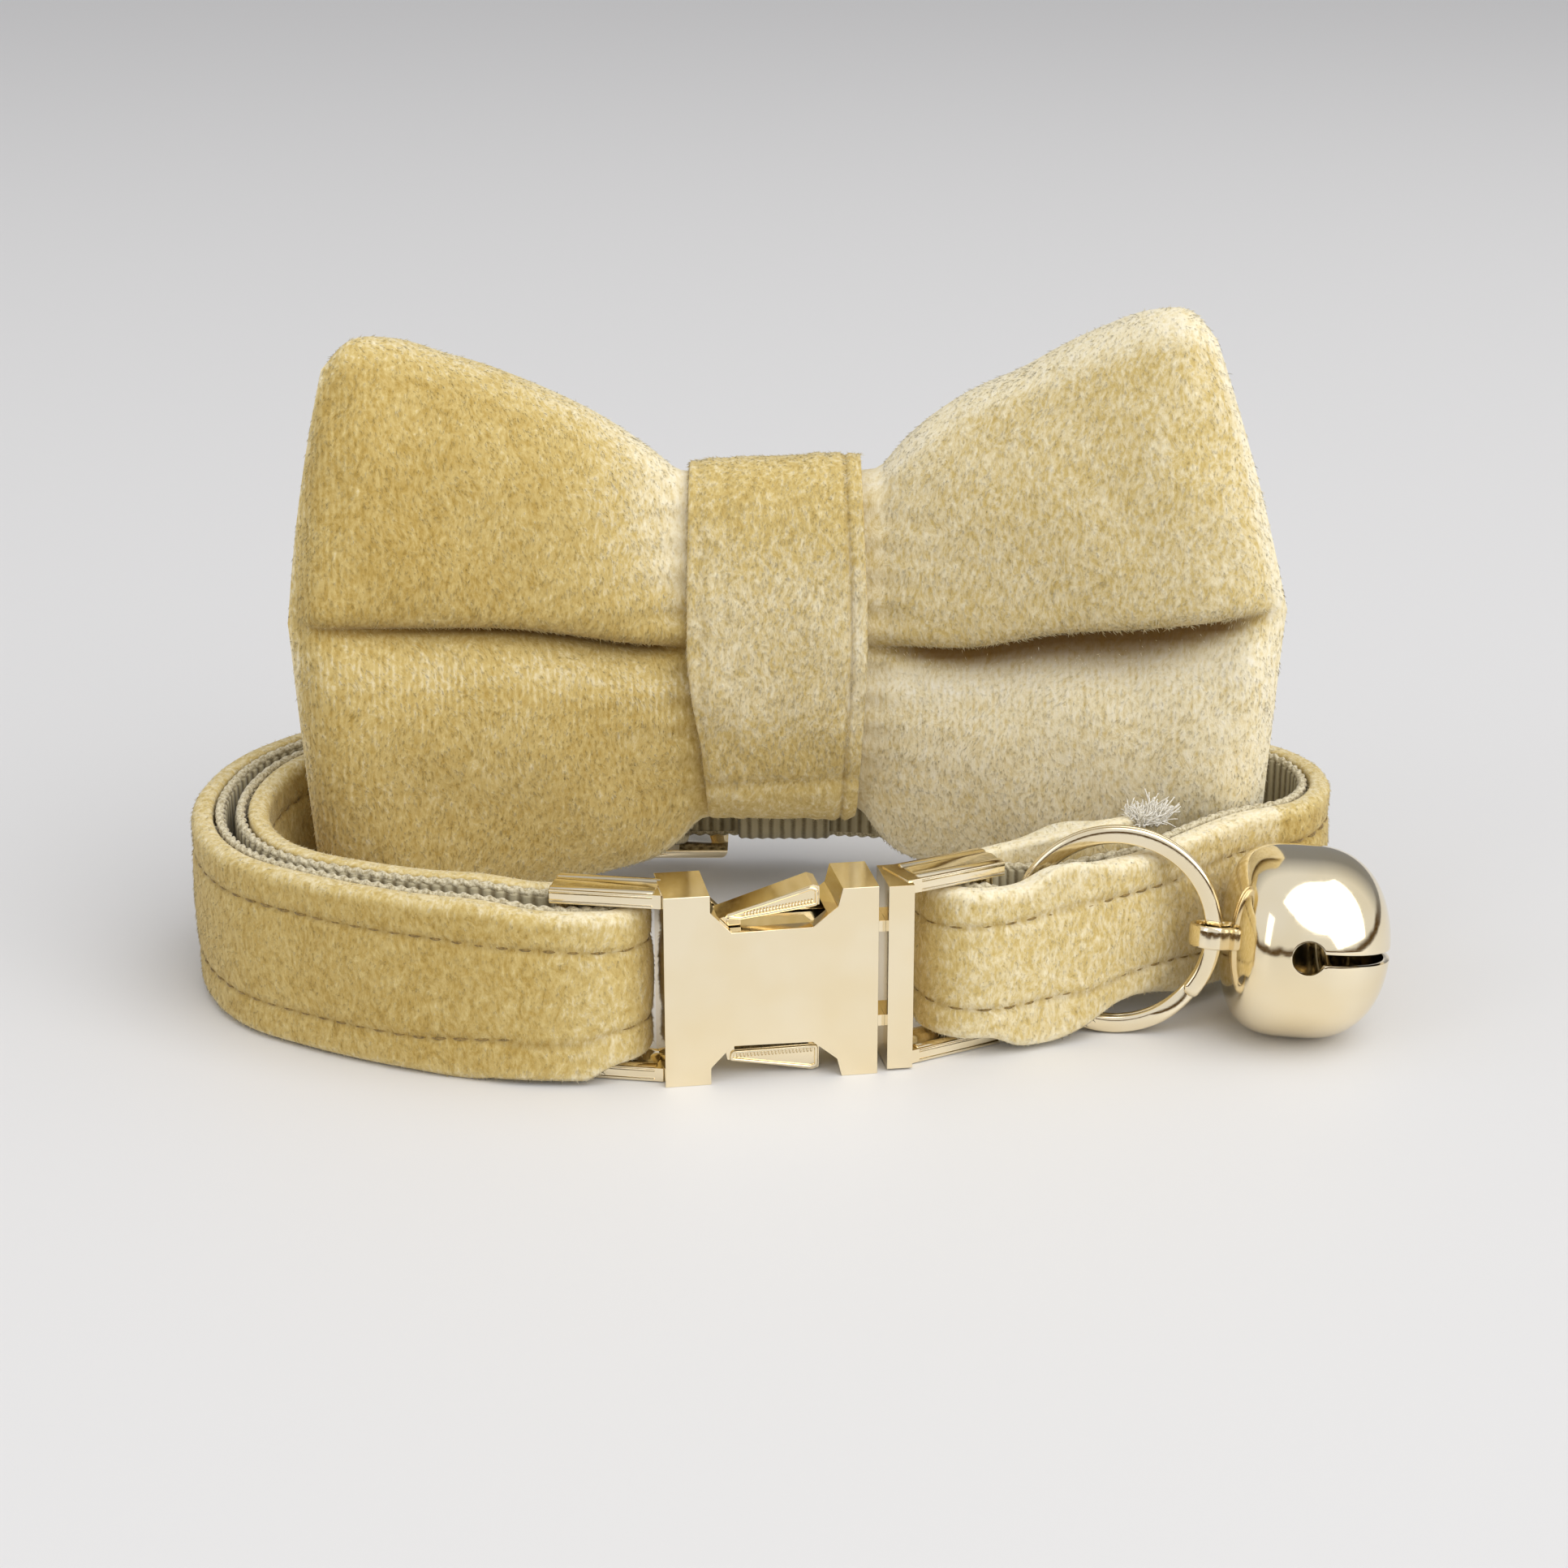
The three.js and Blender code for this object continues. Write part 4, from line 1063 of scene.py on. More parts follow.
@dataclass
class Bow:
    """The padded velvet bow: two lobes, each with one deep crease, pinched in the middle.

    The lobes' rows hold the share of the reach, the height of the top, the foot and the crease,
    the padding in front and behind, and the depth of the crease.
    """

    pinch_depth: float = 43.9
    bend: float = 0.0078
    pinches: Pair = (-9.6, 8.6)
    tips: Pair = (-44.5, 45.0)
    top_sweep: Pair = (3.4, 6.4)
    foot_sweep: Pair = (1.8, 1.6)
    sweep_power: Pair = (1.5, 1.25)
    tuck: float = 1.8
    power: float = 2.5
    left: tuple[tuple[float, ...], ...] = (
        (0.0, 43.6, 10.0, 27.5, 4.6, 4.6, 0.6), (0.1, 46.4, 6.5, 28.2, 6.2, 4.8, 2.6),
        (0.25, 49.8, 4.9, 29.6, 7.6, 5.0, 3.2), (0.45, 53.3, 3.8, 31.2, 8.2, 5.0, 2.8),
        (0.65, 56.2, 2.3, 32.1, 8.0, 4.9, 2.2), (0.82, 58.0, 0.6, 32.8, 7.2, 4.5, 1.6),
        (0.93, 57.9, 0.0, 33.0, 5.0, 3.3, 0.9), (1.0, 55.6, 2.0, 33.2, 0.7, 0.6, 0.0),
    )
    right: tuple[tuple[float, ...], ...] = (
        (0.0, 43.6, 11.4, 27.6, 4.6, 4.6, 0.6), (0.1, 47.4, 6.8, 28.0, 6.2, 4.8, 2.2),
        (0.25, 51.2, 5.2, 28.6, 7.7, 5.0, 3.2), (0.45, 54.7, 3.9, 30.7, 8.4, 5.0, 4.2),
        (0.65, 58.2, 2.3, 31.9, 8.2, 4.9, 4.4), (0.82, 60.4, 0.6, 33.2, 7.4, 4.5, 3.0),
        (0.93, 60.4, 0.0, 34.3, 5.2, 3.3, 1.2), (1.0, 58.0, 2.0, 34.6, 0.7, 0.6, 0.0),
    )
    stations: int = 60
    half_points: int = 32
    pile: Pile = field(default_factory=lambda: Pile(
        "bow_pile", 46000, (0.3, 0.65), 0.055, (0.15, 0.5), (0.3, 0.0, -1.0), 0.9, 5))
    swell_cap: float = 1.5
    swell_ways: Triple = (0.1, 1.0, 0.25)
    scale_up: float = 0.01

    def lobe(self, side: Side) -> tuple[np.ndarray, dict[str, np.ndarray]]:
        """Points of one lobe, from the pinch to the tip.

        Across the lobe a point stands off its middle surface by the padding times a superellipse
        of its height, less the crease, which falls steeply above its line and gently below it.

        Args:
            side: Which lobe.

        Returns:
            Points, rows by columns by three, and the marks of the same rows and columns: painted
            light and sheen that pale the pile, painted shade that darkens the crease, how ribbed
            the pile is, and how firmly the simulation holds each point.
        """
        right = side is Side.RIGHT
        table = np.array(self.right if right else self.left)
        reach = np.sin(np.linspace(0, math.pi / 2, self.stations))
        knots = np.column_stack([table[:, 0] * 36, 0 * table[:, 0], table[:, 1:]])
        fine = smooth_route(knots, 0.25)
        top, foot, fold, front, back, depth = (
            np.interp(reach * 36, fine[:, 0], column)[:, None] for column in fine.T[2:])
        half = np.sin(np.linspace(0, math.pi / 2, self.half_points + 1)) ** 1.55
        down = np.concatenate([half[::-1], -half[1:]])
        ring = np.concatenate([down, down[1:-1][::-1]])[None, :]
        before = np.concatenate([np.ones(len(down)), np.zeros(len(down) - 2)])[None, :] > 0
        z = np.where(ring > 0, fold + ring * (top - fold), fold + ring * (fold - foot))
        middle, tall = (top + foot) / 2, (top - foot) / 2
        off = np.clip(np.abs(z - middle) / tall, 0, 1)
        puff = (1 - off**self.power) ** (1 / self.power)
        away = z - fold
        slope, drop = (4.4, 1.5) if right else (2.2, 0.3)
        under = np.maximum(np.abs(away) - drop * np.clip(depth / 4.4, 0, 1), 0)
        below = np.exp(-(under / slope) ** (1.6 if right else 1.1))
        groove = 1.2 * depth * np.where(away > 0, np.exp(-(np.abs(away) / 0.7) ** 1.5), below)
        pleat = np.exp(-reach / 0.12)[:, None] * np.cos(z * 2.1 + 0.6) * 0.3
        pad = np.where(before, front * puff - groove + pleat * puff, back * puff - 0.3 * groove)
        i = 1 if right else 0
        sweep = np.where(ring > 0, self.top_sweep[i], self.foot_sweep[i])
        sweep = sweep * np.abs(ring) ** self.sweep_power[i]
        tuck = np.where(ring < 0, self.tuck * ring**2, 0)
        span = abs(self.tips[i] - self.pinches[i]) - sweep + tuck
        x = self.pinches[i] + side.value * (span * reach[:, None] - tuck)
        y = self.pinch_depth - self.bend * x**2
        y = y + np.where(before, -1.0, 1.0) * np.maximum(pad, 0.15)
        z = z - before * 0.16 * depth * np.exp(-((away - 0.8) / 0.7) ** 2)
        rim = 0.95 if right else 0.97
        # Painted light and sheen in the pale mark: paler as sheen along the top, foot and tip rims,
        # paler near the pinch and in a band just below the crease, and paler over the whole right
        # lobe, which faces the key light, and over the lower halves.
        edge = np.clip((off - 0.9) / 0.1, 0, 1) + np.clip((reach[:, None] - rim) / (1 - rim), 0, 1)
        near = np.exp(-reach[:, None] / 0.2) * (0.2 if right else 1.0) * np.clip(away / 8, 0, 1)
        near = near + 0.25 * np.exp(-((away + 3.2) / 1.8) ** 2)
        pale = (0.9 if right else 0.45) * edge + near
        pale = pale + (0.52 if right else 0.0) + (0.3 if right else 0.16) * np.clip(-away / 4, 0, 1)
        # The seam mark paints shade into the crease: narrow above its line, wider below it, most on
        # the right lobe.
        wide = 1.6 * (depth / 4.4) ** 2 + 0.3 if right else 0.5
        seam = np.where(away > 0, np.exp(-(away / 0.7) ** 2), np.exp(-(under / wide) ** 2))
        seam = seam * np.clip(depth / 2.6, 0, 1) * before * 0.92
        rib = np.exp(-((away + 5.5) / 3.5) ** 4) + (0.0 if right else 0.9) * np.clip(
            (reach[:, None] - 0.72) / 0.15, 0, 1)
        hold = np.clip(1 - reach[:, None] / 0.06, 0, 1) + np.exp(-np.abs(away) / 1.2)
        hold = hold + np.clip((reach[:, None] - 0.97) / 0.03, 0, 1)
        marks = {"pale": pale, "seam": seam, "rib": rib, "hold": hold}
        return np.stack([x, y, z], -1), {
            name: np.clip(mark, 0, 1) * np.ones_like(z) for name, mark in marks.items()}

    def surface(self) -> tuple[np.ndarray, dict[str, np.ndarray]]:
        """Both lobes as one grid from the left tip to the right tip, with their marks."""
        left, left_marks = self.lobe(Side.LEFT)
        right, right_marks = self.lobe(Side.RIGHT)
        return np.concatenate([left[::-1], right]), {
            name: np.concatenate([left_marks[name][::-1], right_marks[name]])
            for name in left_marks}

    def closed_tips(self, points: np.ndarray) -> np.ndarray:
        """Adds rows past each tip that draw front and back together in a small round edge.

        Args:
            points: Rows by columns by three.

        Returns:
            The same with three rows more at each end.
        """
        columns = points.shape[1]
        mirror = (-np.arange(columns) + 2 * self.half_points) % columns
        made = [points]
        for row, way in ((points[0], -1.0), (points[-1], 1.0)):
            middle = (row + row[mirror]) / 2
            angle = np.array([30.0, 60.0, 90.0]) * math.pi / 180
            closing = middle + (row - middle) * np.cos(angle)[:, None, None]
            closing[..., 0] += way * 0.3 * np.sin(angle)[:, None]
            made = [closing[::-1], *made] if way < 0 else [*made, closing]
        return np.concatenate(made)

    def swollen(self, points: np.ndarray, hold: np.ndarray) -> np.ndarray:
        """Swells the lobes with a cloth simulation and returns the moved points.

        The grid is simulated at a larger size, where the solver's settings suit it, with pressure
        inside and no gravity, and no point moves further than the cap. The moves are then averaged
        with their neighbours', and they are kept small across the outline seen from the front.

        Args:
            points: Rows by columns by three.
            hold: How firmly each point is held, rows by columns.

        Returns:
            The moved points.
        """
        surface = Surface().grid(points, None, (False, True), (True, True))
        made = surface.build("bow_form")
        rest = points.reshape(-1, 3) * self.scale_up
        made.data.vertices.foreach_set("co", rest.astype(np.float32).ravel())
        made.data.update()
        pins = made.vertex_groups.new(name="held")
        for step in range(1, 11):
            chosen = np.nonzero(np.round(hold.ravel() * 10) == step)[0]
            pins.add(chosen.tolist(), step / 10, "REPLACE")
        cloth = made.modifiers.new("fill", "CLOTH")
        cloth.settings.quality = 6
        cloth.settings.use_pressure = True
        cloth.settings.uniform_pressure_force = 4.0
        cloth.settings.effector_weights.gravity = 0.0
        cloth.settings.vertex_group_mass = "held"
        cloth.settings.tension_stiffness = 12.0
        cloth.settings.compression_stiffness = 8.0
        cloth.settings.bending_stiffness = 0.6
        cloth.collision_settings.use_collision = False
        for number in range(1, 21):
            bpy.context.scene.frame_set(number)
        shape = made.evaluated_get(bpy.context.evaluated_depsgraph_get()).to_mesh()
        moved = np.zeros(len(shape.vertices) * 3, np.float32)
        shape.vertices.foreach_get("co", moved)
        bpy.context.scene.frame_set(1)
        bpy.data.objects.remove(made)
        shift = (moved.reshape(-1, 3) - rest) / self.scale_up
        size = np.linalg.norm(shift, axis=1, keepdims=True)
        shift *= np.minimum(1, self.swell_cap / np.maximum(size, 1e-9))
        shift = shift.reshape(points.shape) * self.swell_ways
        for _ in range(6):
            around = (np.roll(shift, 1, 1) + np.roll(shift, -1, 1)) / 2
            along = np.pad(shift, ((1, 1), (0, 0), (0, 0)), mode="edge")
            shift = 0.5 * shift + 0.25 * around + 0.125 * (along[:-2] + along[2:])
        return points + shift

    def build(self, look: bpy.types.Material) -> bpy.types.Object:
        """Builds, swells and dresses the bow, with its fibres.

        Args:
            look: The velvet.

        Returns:
            The piece.
        """
        points, marks = self.surface()
        hold = marks.pop("hold")
        points = self.swollen(points, hold)
        uneven = waves(points[..., 0], points[..., 2] + 40 * (points[..., 1] > 42), (7.0, 22.0), 3)
        points[..., 1] += 0.22 * uneven * (1 - hold)
        points = self.closed_tips(points)
        marks = {name: np.pad(mark, ((3, 3), (0, 0)), mode="edge") for name, mark in marks.items()}
        surface = Surface().grid(points, None, (False, True), (False, False), **marks)
        made = surface.build("padded_bow", merge=0.02)
        finer = made.modifiers.new("finer", "SUBSURF")
        finer.levels = finer.render_levels = 1
        finished(made, look, Slot.VELVET, "bow")
        face = np.where(np.arange(points.shape[1]) <= 2 * self.half_points, 1.0, 0.45)
        self.pile.build(points, face[None, :] * (1 - marks["seam"]), marks["pale"], look)
        return made


@dataclass
class CentreBand:
    """The velvet band round the pinch, a soft sleeve with lengthwise puckers.

    The two edges hold X at each of the edge heights.
    """

    edge_heights: tuple[float, ...] = (10.0, 12.0, 18.0, 22.7, 27.0, 33.0, 44.8)
    left_edge: tuple[float, ...] = (-7.4, -7.4, -7.9, -8.7, -9.2, -9.1, -8.9)
    right_edge: tuple[float, ...] = (6.9, 7.1, 7.4, 7.7, 7.9, 7.8, 7.2)
    hem_inset: float = 1.5
    left: float = -9.25
    right: float = 7.95
    low: float = 11.4
    high: float = 43.6
    pad: float = 4.6
    wall: float = 1.3
    clear: float = 0.5
    power: float = 2.5
    around: int = 132
    across: int = 84
    pile: Pile = field(default_factory=lambda: Pile(
        "band_pile", 11000, (0.3, 0.6), 0.055, (0.15, 0.5), (0.0, 0.0, -1.0), 0.25, 8))

    def build(self, look: bpy.types.Material, bow: Bow) -> bpy.types.Object:
        """Builds and dresses the band.

        Round the band the middle line is a superellipse in Y and Z, and across it the section is a
        flat superellipse whose outer side carries puckers that are sines of X.

        Args:
            look: The velvet.
            bow: The bow that it goes round.

        Returns:
            The piece.
        """
        out = self.clear + self.wall / 2
        middle_y = bow.pinch_depth - bow.bend * bow.pinches[0] ** 2
        loop = round_section(self.around, (self.pad + out, (self.high - self.low) / 2 + out),
                             self.power)
        path = np.column_stack([np.zeros(self.around), middle_y + loop[:, 0],
                                (self.high + self.low) / 2 + loop[:, 1]])
        away = np.column_stack([np.zeros(self.around), np.gradient(path[:, 2]),
                                -np.gradient(path[:, 1])])
        away[[0, -1]] = [[0, 1, 0], [0, 1, 0]]
        away /= np.linalg.norm(away, axis=1, keepdims=True)
        section = round_section(self.across, (1.0, self.wall / 2), 5.0)
        ahead = away[:, 1:2] < 0
        left = np.interp(path[:, 2:3], self.edge_heights, self.left_edge)
        right = np.interp(path[:, 2:3], self.edge_heights, self.right_edge)
        x = (left + right) / 2 + section[:, 0] * (right - left) / 2
        pucker = (np.sin(x * 2.6) + 0.6 * np.sin(x * 4.3 + 1.0)) * 0.06
        pucker = pucker + 0.16 * waves(x, path[:, 2:3] + 0 * x, (4.0, 12.0), 21)
        hem = right - self.hem_inset
        fold = 0.36 * np.exp(-((x - hem) / 0.28) ** 2)
        crease = 0.35 * np.exp(-((path[:, 2:3] - 14.6 - 0.05 * x) / 0.6) ** 2) * ahead
        lift = section[:, 1] + (section[:, 1] > 0) * (pucker - fold - crease)
        points = np.stack([x, path[:, 1:2] + away[:, 1:2] * lift,
                           path[:, 2:3] + away[:, 2:3] * lift], -1)
        points[..., 2] += 0.055 * x * np.clip((path[:, 2:3] - 33) / 10, 0, 1)
        # Painted light in the pale mark: paler across the middle of the band's height, with a paler
        # strip just inside its right edge.
        pale = 0.32 + 0.28 * np.exp(-((path[:, 2:3] - 28) / 9) ** 4) + 0 * x
        pale = pale + (0.3 * np.exp(-((x - right + 0.9) / 0.6) ** 2)
                       * np.exp(-((path[:, 2:3] - 27) / 9) ** 4))
        # The seam mark paints shade into the fold at the hem.
        seam = 0.35 * np.exp(-((x - hem) / 0.22) ** 2) * (section[:, 1] > 0)
        surface = Surface().grid(points, None, (True, True), pale=pale, seam=seam)
        made = surface.build("centre_band_cover")
        finished(made, look, Slot.VELVET, "bow_centre_band")
        outer = (section[:, 1] > 0) * np.clip((path[:, 2:3] - 13) / 4, 0.15, 1)
        self.pile.build(points, outer * (seam < 0.3), pale, look)
        return made


@dataclass
class Fastening:
    """The side-release buckle, the slider and their strap bars, with rounded polished edges."""

    bevel: float = 0.28
    yaw: float = 9.5
    place: Triple = (-1.0, 1.45, 0.0)
    rail_ends: tuple[tuple[Pair, Pair], ...] = (
        ((-9.15, 3.22), (-16.6, 5.7)), ((12.3, 3.54), (19.3, 6.1)))
    rail_heights: Pair = (0.71, 16.29)
    rail_ridge: float = 1.44
    head_depth: float = 1.56
    head_teeth: int = 22
    heads: tuple[tuple[Pair, ...], ...] = (
        ((-3.9, 14.4), (3.7, 16.8), (4.2, 16.6), (4.2, 15.15), (-2.6, 14.15)),
        ((-3.5, 1.6), (3.7, 0.25), (4.2, 0.4), (4.2, 2.4), (-3.4, 2.3)))

    def polished(self, node: str, name: str, look: bpy.types.Material, width: float,
                 corner: float = 0.0) -> bpy.types.Object:
        """A merged copy of a solid with its edges rounded.

        Args:
            node: The solid's name.
            name: The piece's name.
            look: The metal.
            width: Width of the rounding, in millimetres.
            corner: Radius of the outline's four corners seen along Y, in millimetres, or 0.

        Returns:
            The piece.
        """
        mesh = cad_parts[node].data.copy()
        clean = bmesh.new()
        clean.from_mesh(mesh)
        bmesh.ops.remove_doubles(clean, verts=clean.verts, dist=2e-6)
        bmesh.ops.dissolve_limit(clean, angle_limit=math.radians(2), verts=clean.verts,
                                 edges=clean.edges)
        if corner > 0:
            low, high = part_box(node)
            outer = [e for e in clean.edges
                     if all(min(v.co.x - low.x, high.x - v.co.x) < 0.2 * MM
                            and min(v.co.z - low.z, high.z - v.co.z) < 0.2 * MM for v in e.verts)]
            bmesh.ops.bevel(clean, geom=outer, offset=corner * MM, segments=6, profile=0.5,
                            affect="EDGES", clamp_overlap=True)
            LOG.info("%s: %d corners rounded", name, len(outer))
        clean.to_mesh(mesh)
        clean.free()
        mesh.shade_smooth()
        made = bpy.data.objects.new(name, mesh)
        bpy.context.scene.collection.objects.link(made)
        rounding = made.modifiers.new("rounding", "BEVEL")
        rounding.width = width * MM
        rounding.segments = 3
        rounding.limit_method = "ANGLE"
        rounding.angle_limit = math.radians(35)
        rounding.use_clamp_overlap = True
        shading = made.modifiers.new("shading", "WEIGHTED_NORMAL")
        shading.keep_sharp = True
        return finished(made, look, Slot.GILT, node)

    def rails(self, look: bpy.types.Material) -> bpy.types.Object:
        """Builds the ridged sleeves of the four rails.

        The sleeve's section is a squarish superellipse whose flat faces rise and fall as a cosine
        with three crests, with a slit along each narrow face. It runs straight along the rail.

        Args:
            look: The metal.

        Returns:
            The piece.
        """
        section = round_section(160, (2.16, 0.66), 8.0)
        crests = np.cos(section[:, 0] * math.tau / self.rail_ridge)
        ridge = 0.11 * (crests - 1) * (np.abs(section[:, 1]) > 0.4)
        slit = np.exp(-(section[:, 1] / 0.16) ** 2) * (np.abs(section[:, 0]) > 1.9)
        section = section + np.sign(section) * np.column_stack([-0.14 * slit, 0.1 + ridge])
        turn = turned(math.radians(self.yaw), 2)
        surface = Surface()
        for start, end in self.rail_ends:
            reach = np.array([end[0] - start[0], end[1] - start[1], 0.0])
            way = reach / np.linalg.norm(reach)
            reach = reach + way * 1.06
            share = np.array([0.0, 0.0, 0.012, 0.5, 0.988, 1.0, 1.0])
            size = np.array([0.55, 0.94, 1.0, 1.0, 1.0, 0.94, 0.55])[:, None, None]
            for height in self.rail_heights:
                path = np.array([start[0], start[1], height]) + share[:, None] * reach
                across = np.broadcast_to([way[1], -way[0], 0.0], path.shape)
                up = np.broadcast_to([0.0, 0.0, 1.0], path.shape)
                points = tube(path, across, up, section * size) @ turn.T + np.array(self.place)
                surface.grid(points, None, (False, True), (True, True))
        return finished(surface.build("rail_sleeves"), look, Slot.GILT)

    def head_frames(self, look: bpy.types.Material) -> bpy.types.Object:
        """Builds the raised border and the fine teeth on the front of the two prong heads.

        The border is a small round wire along the head's outline, and the teeth are short round
        rods side by side along its inner edge.

        Args:
            look: The metal.

        Returns:
            The piece.
        """
        turn = turned(math.radians(self.yaw), 2)
        surface = Surface()
        section = round_section(12, (0.16, 0.2), 2.6)
        for outline in self.heads:
            corners = np.array(outline)
            middle = corners.mean(0)
            corners = corners + (middle - corners) * np.array([0.05, 0.13])
            closed = np.vstack([corners, corners[:1]])
            run = np.concatenate([[0], np.cumsum(np.linalg.norm(np.diff(closed, axis=0), axis=1))])
            at = np.linspace(0, run[-1], 97)[:-1]
            flat = np.stack([np.interp(at, run, closed[:, 0]), np.interp(at, run, closed[:, 1])], 1)
            path = np.column_stack([flat[:, 0], np.full(len(at), self.head_depth), flat[:, 1]])
            way = np.roll(path, -1, 0) - np.roll(path, 1, 0)
            way /= np.linalg.norm(way, axis=1, keepdims=True)
            out = np.broadcast_to([0.0, -1.0, 0.0], path.shape)
            points = tube(path, np.cross(way, out), out, section) @ turn.T + np.array(self.place)
            surface.grid(points, None, (True, True))
            first, last = corners[-1], corners[-2]
            for share in np.linspace(0.06, 0.94, self.head_teeth):
                foot = first + (last - first) * share
                rise = np.array([0.0, self.head_depth - 0.06, 0.45 * np.sign(middle[1] - foot[1])])
                path = np.array([foot[0], 0.0, foot[1]]) + rise * np.array([[0, 1, 0], [0, 1, 1]])
                across = np.broadcast_to([1.0, 0.0, 0.0], path.shape)
                rod = tube(path, across, np.broadcast_to([0.0, -1.0, 0.0], path.shape),
                           round_section(6, (0.09, 0.12)))
                surface.grid(rod @ turn.T + np.array(self.place), None, (False, True), (True, True))
        return finished(surface.build("prong_head_frames"), look, Slot.GILT)

    def build(self, look: bpy.types.Material) -> None:
        """Builds and dresses the two halves and the slider.

        Args:
            look: The metal.
        """
        self.rails(look)
        self.head_frames(look)
        self.polished("female_buckle", "socket_half", look, self.bevel)
        self.polished("male_buckle", "plug_half", look, self.bevel * 0.8)
        self.polished("slider", "slider_polished", look, self.bevel * 1.5, 2.2)


@dataclass
class SplitRing:
    """The split ring: one flat wire wound twice."""

    centre: Triple = (29.1, 13.0, 9.33)
    radius: float = 8.55
    wire: float = 1.5
    yaw: float = -5.0
    lean: float = -6.0
    start: float = -41.0

    def rotation(self) -> np.ndarray:
        """The ring's own turn, first its lean about X and then its yaw about Z."""
        return turned(math.radians(self.yaw), 2) @ turned(math.radians(self.lean), 0)

    def build(self, look: bpy.types.Material) -> bpy.types.Object:
        """Builds and dresses the ring.

        The path is two turns of a circle that steps sideways by one wire in a short stretch, and
        the section is a squarish superellipse.

        Args:
            look: The metal.

        Returns:
            The piece.
        """
        turn = np.linspace(0, 2 * math.tau, 460)
        angle = math.radians(self.start) + turn
        step = np.clip((turn - math.tau + 0.45) / 0.55, 0, 1)
        side = (step**2 * (3 - 2 * step) - 0.5) * self.wire * 0.5
        ends = np.minimum(turn, 2 * math.tau - turn)
        thin = 0.35 + 0.65 * np.clip(ends / 0.05, 0, 1) ** 0.5
        radial = np.column_stack([np.cos(angle), np.zeros(len(angle)), np.sin(angle)])
        path = radial * self.radius
        path[:, 1] = side
        section = round_section(20, (self.wire / 2, self.wire * 0.235), 3.4)
        profile = section[None] * thin[:, None, None]
        sideways = np.broadcast_to([0.0, 1.0, 0.0], path.shape)
        points = tube(path, radial, sideways, profile) @ self.rotation().T + np.array(self.centre)
        surface = Surface().grid(points, None, (False, True), (True, True))
        return finished(surface.build("split_ring_coil"), look, Slot.GILT, "split_ring")


